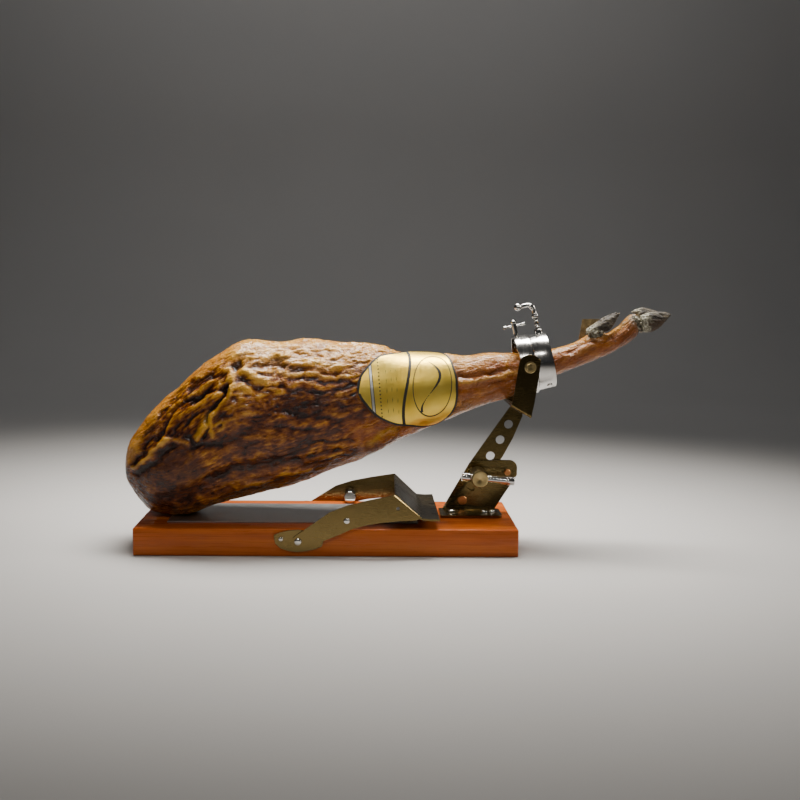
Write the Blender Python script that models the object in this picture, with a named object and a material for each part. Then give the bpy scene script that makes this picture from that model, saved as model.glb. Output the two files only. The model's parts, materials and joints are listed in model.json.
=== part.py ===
"""Whole cured ham, hoof on, clamped in its carving stand.

Frame: +X runs from the ham's butt to its hoof, +Z is up, and -Y is the side that shows the label.
The origin is the middle of the board's underside. Sizes are in metres; MM turns millimetres into them.

The stand is a wooden board with a steel tray plate, an L bracket with a tilting arm, a yoke that holds
a tilting double ring, and a folding toothed support. The ham rests its butt on the tray and hangs by
its shank in the ring.
"""

import math

import bmesh
import bpy
import numpy as np
from mathutils import Vector

MM = 0.001
GAP = 0.3 * MM                                   # clearance between touching pieces

# ---- board and tray ---------------------------------------------------------------------------
BOARD_LENGTH, BOARD_DEPTH, BOARD_HEIGHT = 520 * MM, 180 * MM, 38 * MM
BOARD_ARRIS = 2.2 * MM
TRAY_X = (-220 * MM, 124 * MM)
TRAY_HALF_DEPTH = 58 * MM
TRAY_THICKNESS = 2 * MM
TRAY_TOP = BOARD_HEIGHT + GAP + TRAY_THICKNESS

# ---- bracket and arm --------------------------------------------------------------------------
FOOT_X = (158 * MM, 246 * MM)
FOOT_FRONT = -23 * MM
FOOT_THICKNESS = 4 * MM
PLATE_FRONT, PLATE_BACK = 22 * MM, 26 * MM       # the bracket's upright plate, in Y
ARM_FRONT, ARM_BACK = PLATE_BACK + GAP, PLATE_BACK + GAP + 4 * MM
ARM_PIVOT = (192.5 * MM, 54.7 * MM)              # X, Z
STOP_BOLT = (257.1 * MM, 96.6 * MM)
CLAMP_AXIS = (213.4 * MM, 93.0 * MM)
ARM_TILT = 8.0                                   # degrees, until the arm nears the stop bolt
ARM_HOLES = ((258.1, 166.0), (246.3, 143.3), (232.7, 119.5))
ARM_HOLE_RADIUS = 6.5 * MM
BOLT_SHAFT = 4 * MM
CLAMP_FACE = -18 * MM                            # Y of the clamp boss's end disc
CLAMP_BOSS_RADIUS = 12 * MM
CLAMP_BAR_RADIUS = 5.6 * MM
CLAMP_BAR_SLOPE = 4.6                            # degrees down to the right

# ---- yoke and rings ---------------------------------------------------------------------------
HEAD_PIVOT = (275.5 * MM, 255.8 * MM)            # X, Z of the head bolts
RING_TILT = 13.0                                 # degrees, the ring axis up from +X
FIXED_OUTER, FIXED_INNER = 43 * MM, 39.5 * MM
TURNING_OUTER, TURNING_INNER = 40 * MM, 36.5 * MM
FIXED_RING = (-10 * MM, 10.4 * MM)               # span along the ring axis from the head pivot
TURNING_RING = (11 * MM, 35.5 * MM)
CHEEK_OUTER, CHEEK_INNER = 50 * MM, 46 * MM
CHEEK_RADIUS = 17 * MM
WEB_TILT = 30.0                                  # degrees, the web falls to the right
WEB_TOP, WEB_UNDER = 303.5 * MM, 299.5 * MM      # distance from the origin along the web's normal
WEB_SPAN = (116 * MM, 148.5 * MM)                # along the web's slope
SCREW_AT = -4 * MM                               # ring screw, along the ring axis
SCREW_TIP, SCREW_BAR_AT, SCREW_TOP = 19.6 * MM, 56.5 * MM, 64.6 * MM
LEVER_AT = 27.5 * MM                             # lever screw, along the ring axis
LEVER_TIP, LEVER_KNEE, LEVER_TOP = 16.6 * MM, 72 * MM, 81.5 * MM

# ---- folding toothed support ------------------------------------------------------------------
SUPPORT_PIVOT = (-38.4 * MM, 21.9 * MM)          # X, Z
SUPPORT_SHEET = 2.5 * MM
PIVOT_PLATE_SHEET = 2.6 * MM
PIVOT_PLATE_FACE = BOARD_DEPTH / 2 + GAP + PIVOT_PLATE_SHEET
SUPPORT_INNER = PIVOT_PLATE_FACE + GAP
SUPPORT_OUTER = SUPPORT_INNER + SUPPORT_SHEET
SUPPORT_RACK = 3.0                               # degrees that the rear arm hangs below the front one
SUPPORT_TOP, SUPPORT_KNEE, SUPPORT_LIP = (93.0, 86.6), (128.0, 54.6), (152.0, 53.6)      # X, Z in mm
REAR_LIP_RISE = 4.4 * MM                         # the toothed lip bends up towards the rear
SUPPORT_STOP = (27.0 * MM, 50.7 * MM)            # front stop screw, X, Z
SUPPORT_STOP_RADIUS = 8.9 * MM                   # the rear stop rests on the board
SUPPORT_STOP_END = 70 * MM
TONGUES = 5

# ---- ham --------------------------------------------------------------------------------------
REST_Z = TRAY_TOP + GAP
HAM_AROUND, HAM_ALONG = 32, 39
SECTION_POWER = 0.92                             # below 1 is squarer than an ellipse
BUTT_TIP = (-284.5, 112.0)
SHANK_TIP = (434.0, 314.0)
# Cross-sections from butt to hoof, in mm: top edge X, Z; lower edge X, Z; half thickness front, back.
STATIONS = (
    (-282.0, 130.0, -284.5, 96.0, 22.0, 21.0),
    (-275.0, 148.0, -281.0, 84.0, 36.0, 34.0),
    (-258.0, 173.0, -268.0, 64.0, 50.0, 47.0),
    (-233.0, 200.0, -250.0, 44.0, 60.0, 56.0),
    (-208.0, 221.0, -226.0, 37.0, 67.0, 62.0),
    (-182.0, 246.0, -199.0, 38.0, 73.0, 66.0),
    (-152.0, 267.0, -168.0, 51.0, 78.0, 70.0),
    (-118.0, 285.5, -134.0, 61.0, 79.0, 71.0),
    (-78.0, 283.5, -92.0, 71.5, 77.0, 71.0),
    (-35.0, 287.5, -46.0, 84.0, 74.0, 68.0),
    (20.0, 284.0, 8.0, 106.0, 69.0, 62.0),
    (67.0, 281.0, 62.0, 127.0, 61.0, 54.0),
    (103.0, 271.0, 103.0, 149.0, 53.0, 47.0),
    (145.0, 269.0, 148.0, 168.5, 44.0, 40.0),
    (185.0, 266.5, 190.0, 186.5, 35.0, 33.0),
    (218.0, 271.0, 224.0, 199.5, 29.0, 28.0),
    (252.0, 271.5, 252.0, 208.5, 25.0, 25.0),
    (285.0, 274.0, 287.0, 226.0, 21.0, 21.0),
    (314.0, 278.0, 318.0, 240.5, 18.5, 18.5),
    (340.0, 285.0, 345.0, 250.5, 17.5, 17.5),
    (365.0, 297.0, 372.0, 262.0, 17.5, 17.5),
    (390.0, 300.5, 398.0, 274.0, 17.0, 17.0),
    (405.0, 310.0, 414.0, 283.5, 16.5, 16.5),
    (419.0, 322.5, 426.0, 291.5, 16.5, 16.5),
    (430.5, 328.0, 433.0, 299.0, 15.0, 15.0),
)
# Relief of the label side, in mm: height (+ raised, - sunk), half width, then the line's X, Z points.
RELIEF = (
    (+5.0, 9.0, ((-272, 128), (-246, 172), (-204, 214), (-158, 252), (-118, 272))),        # fat rim
    (-7.0, 13.0, ((-160, 205), (-142, 232), (-132, 252))),                            # hip bone hollow
    (+6.0, 9.0, ((-150, 228), (-146, 236))),                                          # hip bone knob
    (+6.0, 13.0, ((-122, 214), (-142, 190), (-160, 162), (-152, 146))),               # curled muscle
    (+5.0, 7.0, ((-276, 104), (-252, 124), (-232, 138))),                             # torn skin edge
    (-7.0, 12.0, ((-262, 92), (-236, 108), (-214, 92))),                              # smooth dark hollow
    (-6.0, 11.0, ((-166, 88), (-110, 100), (-50, 112), (10, 127))),                   # long valley
    (-4.0, 7.0, ((-32, 142), (18, 144))),                                             # fissure
    (+5.0, 11.0, ((-90, 262), (-20, 250), (12, 247))),                                # upper muscle
    (-4.0, 9.0, ((-110, 232), (-40, 226), (8, 223))),                                # groove below it
    (-2.4, 6.0, ((180, 236), (226, 243), (250, 244))),                                # shank groove
)

# ---- label, tag and hooves --------------------------------------------------------------------
LABEL_OFFSET, LABEL_SHEET = 1.6 * MM, 0.7 * MM
LABEL_COLUMNS, LABEL_ROWS = 15, 12
# The label's edges across the leg: X in mm, then lower and upper edge in degrees up from the front.
LABEL_EDGES = ((39.0, 12.0, 26.0), (46.0, 4.0, 35.0), (54.0, -2.0, 43.0), (66.0, -11.0, 54.0),
               (80.0, -20.0, 62.0), (95.0, -30.0, 73.0), (112.0, -40.0, 88.0), (130.0, -54.0, 96.0),
               (146.0, -63.0, 96.0), (158.0, -60.0, 90.0), (167.0, -49.0, 72.0), (174.0, -32.0, 38.0),
               (177.5, -11.0, 16.0))
TAG_X, TAG_Z = (354 * MM, 384 * MM), (285 * MM, 320 * MM)
TAG_FRONT, TAG_SHEET = 19.2 * MM, 0.9 * MM
# Hoof and dewclaw sections, in mm: X, low Z, high Z, half width; then the tip's X, Z.
NEAR_HOOF = ((434.8, 305.0, 328.0, 7.4), (443.0, 302.4, 331.6, 8.8), (452.5, 303.6, 333.4, 8.8),
             (461.5, 309.0, 333.2, 7.8), (469.0, 318.0, 332.2, 5.6), (474.5, 325.0, 330.8, 3.0))
NEAR_HOOF_TIP = (479.0, 329.4)
FAR_HOOF = ((426.5, 329.8, 331.0, 1.6), (434.6, 329.6, 335.4, 5.0), (435.6, 309.0, 336.2, 7.2),
            (441.0, 307.5, 338.6, 8.4), (450.0, 310.0, 336.8, 8.2), (459.0, 315.0, 333.8, 6.4),
            (465.0, 321.0, 331.6, 4.2))
FAR_HOOF_TIP = (469.0, 329.0)
HOOF_SPREAD = 9.6 * MM
DEWCLAW = ((362.5, 300.4, 305.4, 3.0), (370.0, 300.8, 311.5, 5.4), (379.0, 301.6, 318.4, 6.6),
           (387.0, 302.8, 323.8, 6.4), (392.5, 305.5, 326.6, 5.4), (397.0, 313.0, 328.2, 4.0),
           (402.0, 323.0, 329.6, 2.2))
DEWCLAW_TIP = (406.6, 330.6)
DEWCLAW_SPREAD = 9.0 * MM


# ---- tools ------------------------------------------------------------------------------------

def finish(name, colour, roughness, metallic=0.0):
    """A Principled material."""
    material = bpy.data.materials.new(name)
    material.use_nodes = True
    shader = material.node_tree.nodes["Principled BSDF"]
    shader.inputs["Base Color"].default_value = (*colour, 1.0)
    shader.inputs["Roughness"].default_value = roughness
    shader.inputs["Metallic"].default_value = metallic
    material.diffuse_color = (*colour, 1.0)
    return material


def add_object(name, bm, material, smooth_angle=35.0):
    """Turn a bmesh into an object of one closed body with outward faces."""
    bmesh.ops.remove_doubles(bm, verts=bm.verts, dist=1e-6)
    bmesh.ops.recalc_face_normals(bm, faces=bm.faces)
    mesh = bpy.data.meshes.new(name)
    bm.to_mesh(mesh)
    bm.free()
    mesh.shade_smooth()
    mesh.set_sharp_from_angle(angle=math.radians(smooth_angle))
    obj = bpy.data.objects.new(name, mesh)
    bpy.context.scene.collection.objects.link(obj)
    if material is not None:
        mesh.materials.append(material)
    return obj


def rings_to_bmesh(rings, closed_ends=True, looped=False):
    """Bridge a list of equal rings of points. A ring of one point is a pole."""
    bm = bmesh.new()
    made = [[bm.verts.new(p) for p in ring] for ring in rings]
    pairs = list(zip(made, made[1:]))
    if looped:
        pairs.append((made[-1], made[0]))
    for a, b in pairs:
        n = max(len(a), len(b))
        for i in range(n):
            j = (i + 1) % n
            corners = [a[i % len(a)], a[j % len(a)], b[j % len(b)], b[i % len(b)]]
            bm.faces.new(list(dict.fromkeys(corners)))
    if closed_ends and not looped:
        for ring in (made[0], made[-1]):
            if len(ring) > 2:
                bm.faces.new(ring)
    return bm


def axes_of(direction):
    """Two unit vectors square to a direction."""
    w = Vector(direction).normalized()
    side = Vector((0, 1, 0)) if abs(w.y) < 0.9 else Vector((1, 0, 0))
    u = side.cross(w).normalized()
    return u, w.cross(u), w


def turned(name, origin, direction, profile, material, segments=14, looped=False):
    """Revolve (distance, radius) points about an axis. A radius of 0 is a pole."""
    u, v, w = axes_of(direction)
    origin = Vector(origin)
    rings = []
    for along, radius in profile:
        centre = origin + w * along
        if radius == 0:
            rings.append([centre])
            continue
        turn = [2 * math.pi * i / segments for i in range(segments)]
        rings.append([centre + (u * math.cos(a) + v * math.sin(a)) * radius for a in turn])
    return add_object(name, rings_to_bmesh(rings, looped=looped), material)


def swept(name, path, radii, material, segments=10):
    """A tube along a path in the XZ plane with a radius at each point. A radius of 0 is a pole."""
    across = Vector((0, 1, 0))
    rings = []
    for i, (point, radius) in enumerate(zip(path, radii)):
        before, after = path[max(i - 1, 0)], path[min(i + 1, len(path) - 1)]
        normal = (after - before).normalized().cross(across)
        if radius == 0:
            rings.append([point])
            continue
        turn = [2 * math.pi * k / segments for k in range(segments)]
        rings.append([point + (normal * math.cos(a) + across * math.sin(a)) * radius for a in turn])
    return add_object(name, rings_to_bmesh(rings), material)


def prism(name, outline, y_from, y_to, material, smooth_angle=35.0):
    """A sheet piece: an XZ outline pushed from one Y to another."""
    bm = bmesh.new()
    face = bm.faces.new([bm.verts.new((x, y_from, z)) for x, z in outline])
    pushed = bmesh.ops.extrude_face_region(bm, geom=[face])
    moved = [g for g in pushed["geom"] if isinstance(g, bmesh.types.BMVert)]
    bmesh.ops.translate(bm, verts=moved, vec=(0, y_to - y_from, 0))
    return add_object(name, bm, material, smooth_angle)


def as_cutter(obj):
    """Mark an object as a tool that the model does not keep."""
    obj.hide_render = True
    obj.display_type = "WIRE"
    return obj


def combine(obj, tool, operation):
    """Add an exact Boolean modifier."""
    modifier = obj.modifiers.new(f"{operation.lower()} {tool.name}", "BOOLEAN")
    modifier.operation = operation
    modifier.solver = "EXACT"
    modifier.object = as_cutter(tool)
    return obj


def drill(obj, centre, radius, y_from, y_to, segments=14):
    """Cut a round hole along Y at an X, Z centre."""
    x, z = centre
    profile = ((0, radius), (y_to - y_from, radius))
    tool = turned(f"{obj.name} drill", (x, y_from, z), (0, 1, 0), profile, None, segments)
    return combine(obj, tool, "DIFFERENCE")


def soften(obj, width, segments=1):
    """Bevel an object's hard edges."""
    modifier = obj.modifiers.new("arris", "BEVEL")
    modifier.width = width
    modifier.segments = segments
    modifier.limit_method = "ANGLE"
    modifier.angle_limit = math.radians(40)
    return obj


def baked(obj):
    """Apply an object's modifiers to its mesh."""
    graph = bpy.context.evaluated_depsgraph_get()
    mesh = bpy.data.meshes.new_from_object(obj.evaluated_get(graph))
    obj.modifiers.clear()
    obj.data = mesh
    return obj


def arc(centre, radius, start, end, steps):
    """Points of an arc, degrees counter-clockwise from +X."""
    turn = [math.radians(start + (end - start) * i / steps) for i in range(steps + 1)]
    return [(centre[0] + radius * math.cos(a), centre[1] + radius * math.sin(a)) for a in turn]


def scaled(points):
    """Millimetre pairs in metres."""
    return [(x * MM, z * MM) for x, z in points]


def swung(point, pivot, degrees):
    """Turn an X, Z point about a pivot, positive from +Z towards +X."""
    a = math.radians(degrees)
    dx, dz = point[0] - pivot[0], point[1] - pivot[1]
    return (pivot[0] + dx * math.cos(a) + dz * math.sin(a), pivot[1] - dx * math.sin(a) + dz * math.cos(a))


def round_bolt(name, x, z, y_seat, outward, head, shaft, material, nut=None, segments=12):
    """A domed bolt along Y. head = (radius, height), shaft = (radius, length), nut = (radius, height)."""
    radius, height = head
    profile = [(-shaft[1], shaft[0])] if nut is None else [
        (-shaft[1] - nut[1], nut[0]), (-shaft[1], nut[0]), (-shaft[1], shaft[0])]
    profile += [(0, shaft[0]), (0, radius), (0.35 * height, radius), (0.75 * height, 0.78 * radius),
                (height, 0.36 * radius)]
    return turned(name, (x, y_seat, z), (0, outward, 0), profile, material, segments)


# ---- finishes ---------------------------------------------------------------------------------

def make_finishes():
    """The materials, by name."""
    return {
        "wood": finish("varnished wood", (0.44, 0.15, 0.05), 0.35),
        "steel": finish("satin steel", (0.55, 0.54, 0.5), 0.32, 1.0),
        "polished": finish("polished steel", (0.75, 0.75, 0.76), 0.15, 1.0),
        "ham": finish("cured ham", (0.5, 0.26, 0.08), 0.45),
        "horn": finish("horn", (0.16, 0.15, 0.13), 0.5),
        "foil": finish("gold foil", (0.83, 0.68, 0.22), 0.28, 0.8),
        "card": finish("tag card", (0.3, 0.24, 0.12), 0.7),
    }


# ---- board, tray, bracket ---------------------------------------------------------------------

def make_board(wood, steel):
    """The wooden board and the steel tray plate on it."""
    x, y = BOARD_LENGTH / 2, BOARD_DEPTH / 2
    board = prism("board", [(-x, 0), (x, 0), (x, BOARD_HEIGHT), (-x, BOARD_HEIGHT)], -y, y, wood)
    soften(board, BOARD_ARRIS, 2)
    low, high = BOARD_HEIGHT + GAP, TRAY_TOP
    outline = [(TRAY_X[0], low), (TRAY_X[1], low), (TRAY_X[1], high), (TRAY_X[0], high)]
    prism("tray_plate", outline, -TRAY_HALF_DEPTH, TRAY_HALF_DEPTH, steel)


def make_bracket(steel, polished):
    """The L bracket: a screwed foot and an upright plate with a lobe, a slot and a window."""
    low, high = BOARD_HEIGHT + GAP, BOARD_HEIGHT + GAP + FOOT_THICKNESS
    corner = 9 * MM
    left, right = FOOT_X
    foot_plan = [(left, PLATE_BACK), (left, FOOT_FRONT)]
    foot_plan += arc((right - corner, FOOT_FRONT + corner), corner, -90, 0, 4)
    foot_plan += arc((right - corner, PLATE_BACK - corner), corner, 0, 90, 4)
    bm = bmesh.new()
    face = bm.faces.new([bm.verts.new((x, y, low)) for x, y in foot_plan])
    pushed = bmesh.ops.extrude_face_region(bm, geom=[face])
    moved = [g for g in pushed["geom"] if isinstance(g, bmesh.types.BMVert)]
    bmesh.ops.translate(bm, verts=moved, vec=(0, 0, high - low))
    bracket = add_object("bracket", bm, steel)

    base = (low + high) / 2
    lobe = (260.5 * MM, 103 * MM)
    outline = [(162.8 * MM, base), (238.5 * MM, base), (271.5 * MM, 92.4 * MM)]
    outline += arc(lobe, 11 * MM, 0, 90, 5)
    outline += scaled([(247.6, 114.0), (205.0, 112.0), (202.0, 109.0)])
    combine(bracket, prism("bracket upright", outline, PLATE_FRONT, PLATE_BACK, None), "UNION")
    drill(bracket, ARM_PIVOT, BOLT_SHAFT + GAP, PLATE_FRONT - MM, PLATE_BACK + MM)
    drill(bracket, STOP_BOLT, BOLT_SHAFT + GAP, PLATE_FRONT - MM, PLATE_BACK + MM)

    # Curved slot that lets the clamp bolt travel while the arm tilts.
    clear, steps = BOLT_SHAFT + 2 * GAP, 4
    angles = [-0.5 + (ARM_TILT + 1.0) * i / steps for i in range(steps + 1)]
    centres = [swung(CLAMP_AXIS, ARM_PIVOT, a) for a in angles]
    reach = math.hypot(CLAMP_AXIS[0] - ARM_PIVOT[0], CLAMP_AXIS[1] - ARM_PIVOT[1])
    heading = math.degrees(math.atan2(CLAMP_AXIS[1] - ARM_PIVOT[1], CLAMP_AXIS[0] - ARM_PIVOT[0]))
    first, last = heading - angles[0], heading - angles[-1]
    slot = arc(centres[0], clear, first, first + 180, 6)
    slot += arc(ARM_PIVOT, reach - clear, first, last, steps)[1:-1]
    slot += arc(centres[-1], clear, last + 180, last + 360, 6)
    slot += arc(ARM_PIVOT, reach + clear, last, first, steps)[1:-1]
    combine(bracket, prism("slot tool", slot, PLATE_FRONT - MM, PLATE_BACK + MM, None), "DIFFERENCE")

    window = arc((201.6 * MM, 74.4 * MM), 3.1 * MM, 60, 240, 5)
    window += arc((207.2 * MM, 71.4 * MM), 3.1 * MM, -120, 60, 5)
    combine(bracket, prism("window tool", window, PLATE_FRONT - MM, PLATE_BACK + MM, None), "DIFFERENCE")

    for i, (x, y) in enumerate(((175.5, 1.0), (222.0, -2.5), (233.5, 2.5)), 1):
        profile = ((0, 4.9 * MM), (1.3 * MM, 4.9 * MM), (2.7 * MM, 3.6 * MM), (3.2 * MM, 1.6 * MM))
        turned(f"bracket_screw_{i}", (x * MM, y * MM, high + GAP), (0, 0, 1), profile, polished, 12)
    round_bolt("arm_pivot_bolt", *ARM_PIVOT, PLATE_FRONT - GAP, -1, (6.6 * MM, 2.2 * MM),
               (BOLT_SHAFT, ARM_BACK - PLATE_FRONT + 2 * GAP), steel, (7 * MM, 4.5 * MM))
    round_bolt("stop_bolt", *STOP_BOLT, PLATE_FRONT - GAP, -1, (5.6 * MM, 2.4 * MM),
               (BOLT_SHAFT, ARM_BACK - PLATE_FRONT + GAP), steel)


def make_arm(steel, polished):
    """The tilting arm behind the bracket plate, and the clamp handle that locks it."""
    left = math.radians(150)
    below_web = WEB_UNDER - GAP
    slope = math.radians(WEB_TILT)

    def on_web(span):
        """X, Z of a point under the web, by its distance along the slope."""
        return (below_web * math.sin(slope) + span * math.cos(slope),
                below_web * math.cos(slope) - span * math.sin(slope))

    start = math.degrees(left)
    outline = arc(ARM_PIVOT, 16 * MM, start, start + 188, 12)
    outline += scaled([(251.1, 119.5), (264.8, 146.1), (278.0, 178.4)])
    outline += [on_web(WEB_SPAN[1] - 0.5 * MM), on_web(WEB_SPAN[0] + 15 * MM)]
    outline += scaled([(258.9, 190.8), (203.0, 109.0)])
    arm = prism("arm", outline, ARM_FRONT, ARM_BACK, steel)
    for centre in scaled(ARM_HOLES):
        drill(arm, centre, ARM_HOLE_RADIUS, ARM_FRONT - MM, ARM_BACK + MM)
    for centre in (ARM_PIVOT, CLAMP_AXIS):
        drill(arm, centre, BOLT_SHAFT + GAP, ARM_FRONT - MM, ARM_BACK + MM)

    x, z = CLAMP_AXIS
    profile = ((0, BOLT_SHAFT), (ARM_BACK - PLATE_FRONT + 2 * GAP, BOLT_SHAFT),
               (ARM_BACK - PLATE_FRONT + 2 * GAP, 8.5 * MM), (ARM_BACK - PLATE_FRONT + 6 * MM, 8.5 * MM))
    turned("clamp_bolt", (x, PLATE_FRONT, z), (0, 1, 0), profile, steel)
    seat = PLATE_FRONT - GAP
    profile = ((0, CLAMP_BOSS_RADIUS), (seat - CLAMP_FACE - MM, CLAMP_BOSS_RADIUS),
               (seat - CLAMP_FACE, CLAMP_BOSS_RADIUS - MM))
    boss = turned("clamp_boss", (x, seat, z), (0, -1, 0), profile, polished, 20)

    slope = math.radians(CLAMP_BAR_SLOPE)
    along = Vector((math.cos(slope), 0, -math.sin(slope)))
    middle = Vector((x, CLAMP_FACE + 10 * MM, z))
    r, cap = CLAMP_BAR_RADIUS, CLAMP_BAR_RADIUS + 0.8 * MM
    tool = turned("bar tool", middle - along * 20 * MM, along, ((0, r + GAP), (40 * MM, r + GAP)), None, 14)
    combine(boss, tool, "DIFFERENCE")
    profile = ((-25 * MM, 5 * MM), (-24 * MM, cap), (-13.5 * MM, cap), (-12.8 * MM, r), (39.5 * MM, r),
               (40 * MM, cap), (49.4 * MM, cap), (50.4 * MM, 5 * MM))
    turned("clamp_bar", middle, along, profile, polished, 14)


# ---- yoke and rings ---------------------------------------------------------------------------

def ring_axes():
    """The ring's axis and its upright."""
    a = math.radians(RING_TILT)
    return Vector((math.cos(a), 0, math.sin(a))), Vector((-math.sin(a), 0, math.cos(a)))


def make_yoke(steel):
    """The U strap: two cheeks joined by a web square to the arm, and the two head bolts."""
    slope = math.radians(WEB_TILT)

    def at(span, depth):
        """X, Z from the distance along the web's slope and along its normal."""
        return (depth * math.sin(slope) + span * math.cos(slope),
                depth * math.cos(slope) - span * math.sin(slope))

    outline = [at(WEB_SPAN[0], WEB_UNDER), at(WEB_SPAN[1], WEB_UNDER)]
    outline += scaled([(282.8, 206.7), (287.6, 240.0)])
    outline += arc(HEAD_PIVOT, CHEEK_RADIUS, 32, 148, 10)
    outline += scaled([(256.6, 235.5), (253.2, 210.6)])
    yoke = prism("yoke", outline, -CHEEK_OUTER, -CHEEK_INNER, steel)
    combine(yoke, prism("rear cheek", outline, CHEEK_INNER, CHEEK_OUTER, None), "UNION")
    web = [at(WEB_SPAN[0], WEB_UNDER), at(WEB_SPAN[1], WEB_UNDER), at(WEB_SPAN[1], WEB_TOP),
           at(WEB_SPAN[0], WEB_TOP)]
    middle = CHEEK_INNER + (CHEEK_OUTER - CHEEK_INNER) / 2
    combine(yoke, prism("web", web, -middle, middle, None), "UNION")
    for y_from, y_to in ((-CHEEK_OUTER, -CHEEK_INNER), (CHEEK_INNER, CHEEK_OUTER)):
        drill(yoke, HEAD_PIVOT, BOLT_SHAFT + GAP, y_from - MM, y_to + MM)
    for side, name in ((-1, "head_bolt_front"), (1, "head_bolt_rear")):
        round_bolt(name, *HEAD_PIVOT, side * (CHEEK_OUTER + GAP), side, (8 * MM, 2.6 * MM),
                   (BOLT_SHAFT, CHEEK_OUTER - FIXED_OUTER - 1.2 * MM), steel, segments=16)


def make_rings(polished, steel):
    """The fixed ring with its pivot bosses, and the turning ring beside it."""
    axis, up = ring_axes()
    centre = Vector((HEAD_PIVOT[0], 0, HEAD_PIVOT[1]))
    edge = 0.9 * MM

    def band(name, span, inner, outer, material):
        """One ring with softened outer edges."""
        a, b = span
        profile = ((a, inner), (a, outer - edge), (a + edge, outer), (b - edge, outer),
                   (b, outer - edge), (b, inner))
        return turned(name, centre, axis, profile, material, 30, looped=True)

    fixed = band("ring_fixed", FIXED_RING, FIXED_INNER, FIXED_OUTER, polished)
    for side in (-1, 1):
        profile = ((0, 9 * MM), (CHEEK_INNER - GAP - FIXED_INNER - MM, 9 * MM))
        boss = turned("boss tool", centre + Vector((0, side * (FIXED_INNER + MM), 0)), (0, side, 0),
                      profile, None, 16)
        combine(fixed, boss, "UNION")
        bore = CHEEK_INNER - FIXED_OUTER - 0.5 * MM
        hole = turned("boss bore", centre + Vector((0, side * (CHEEK_INNER + MM), 0)), (0, -side, 0),
                      ((0, BOLT_SHAFT + GAP), (bore + 2 * MM, BOLT_SHAFT + GAP)), None, 14)
        combine(fixed, hole, "DIFFERENCE")
    hole = turned("screw bore", centre + axis * SCREW_AT + up * (FIXED_INNER - 4 * MM), up,
                  ((0, 3.9 * MM), (12 * MM, 3.9 * MM)), None, 14)
    combine(fixed, hole, "DIFFERENCE")

    turning = band("ring_turning", TURNING_RING, TURNING_INNER, TURNING_OUTER, polished)
    hole = turned("lever bore", centre + axis * LEVER_AT + up * (TURNING_INNER - 4 * MM), up,
                  ((0, 3.8 * MM), (12 * MM, 3.8 * MM)), None, 14)
    combine(turning, hole, "DIFFERENCE")

    nut = centre + axis * LEVER_AT + up * (TURNING_OUTER + GAP)
    profile = ((0, 3.8 * MM), (0, 6.2 * MM), (4.6 * MM, 6.2 * MM), (5.6 * MM, 5.2 * MM), (5.6 * MM, 3.8 * MM))
    turned("lever_nut", nut, up, profile, polished, 16, looped=True)

    lean = math.radians(34)
    out = Vector((0, -math.sin(lean), 0)) - up * math.cos(lean)
    seat = centre + axis * 25.5 * MM + out * (TURNING_OUTER + GAP)
    profile = ((0, 3.5 * MM), (1.2 * MM, 3.5 * MM), (2.2 * MM, 2.0 * MM))
    turned("ring_set_screw", seat, out, profile, steel, 12)


def make_hand_screws(polished):
    """The T screw in the fixed ring and the bent lever screw in the turning ring."""
    axis, up = ring_axes()
    centre = Vector((HEAD_PIVOT[0], 0, HEAD_PIVOT[1]))
    foot = centre + axis * SCREW_AT
    profile = ((SCREW_TIP, 2.8 * MM), (SCREW_TIP + MM, 3.55 * MM), (SCREW_TOP - 4.6 * MM, 3.55 * MM),
               (SCREW_TOP - 4 * MM, 4.1 * MM), (SCREW_TOP - MM, 4.1 * MM), (SCREW_TOP, 2.8 * MM))
    screw = turned("ring_screw", foot, up, profile, polished, 14)
    middle = foot + up * SCREW_BAR_AT
    tool = turned("cross bar tool", middle - axis * 8 * MM, axis, ((0, 1.9 * MM), (16 * MM, 1.9 * MM)),
                  None, 10)
    combine(screw, tool, "DIFFERENCE")
    profile = ((-15.2 * MM, 1.5 * MM), (-14.6 * MM, 2.2 * MM), (-11.4 * MM, 2.2 * MM), (-10.8 * MM, 1.6 * MM),
               (10.8 * MM, 1.6 * MM), (11.4 * MM, 2.2 * MM), (14.6 * MM, 2.2 * MM), (15.2 * MM, 1.5 * MM))
    turned("ring_screw_bar", middle, axis, profile, polished, 10)

    def at(along, height):
        """A point in the ring's own axes."""
        return centre + axis * along + up * height

    rod, collar, wrist, ball = 3.3 * MM, 4.7 * MM, 3.0 * MM, 5.6 * MM
    heights = ((LEVER_TIP, 2.4 * MM), (LEVER_TIP + MM, rod), (61.4 * MM, rod), (62.0 * MM, collar),
               (66.0 * MM, collar), (66.6 * MM, wrist), (LEVER_KNEE, wrist))
    path = [at(LEVER_AT, h) for h, _ in heights]
    radii = [r for _, r in heights]
    bend = LEVER_TOP - LEVER_KNEE
    for angle in (22, 45, 68, 90):
        a = math.radians(angle)
        path.append(at(LEVER_AT - bend * (1 - math.cos(a)), LEVER_KNEE + bend * math.sin(a)))
        radii.append(wrist)
    knob = LEVER_AT - bend - 12 * MM
    for degrees in (35, 60, 90, 120, 150, 180):
        a = math.radians(degrees)
        path.append(at(knob + ball * math.cos(a), LEVER_TOP))
        radii.append(0 if degrees == 180 else ball * math.sin(a))
    swept("lever_screw", path, radii, polished)


# ---- folding toothed support ------------------------------------------------------------------

def racked(point, y):
    """X, Z of a support point at a depth: the sheet is racked, so its rear hangs lower."""
    share = (y + SUPPORT_OUTER) / (2 * SUPPORT_OUTER)
    x, z = swung(point, SUPPORT_PIVOT, SUPPORT_RACK * share)
    along = (point[0] / MM - SUPPORT_TOP[0]) / (SUPPORT_LIP[0] - SUPPORT_TOP[0])
    return x, z + REAR_LIP_RISE * share * max(along, 0)


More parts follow.
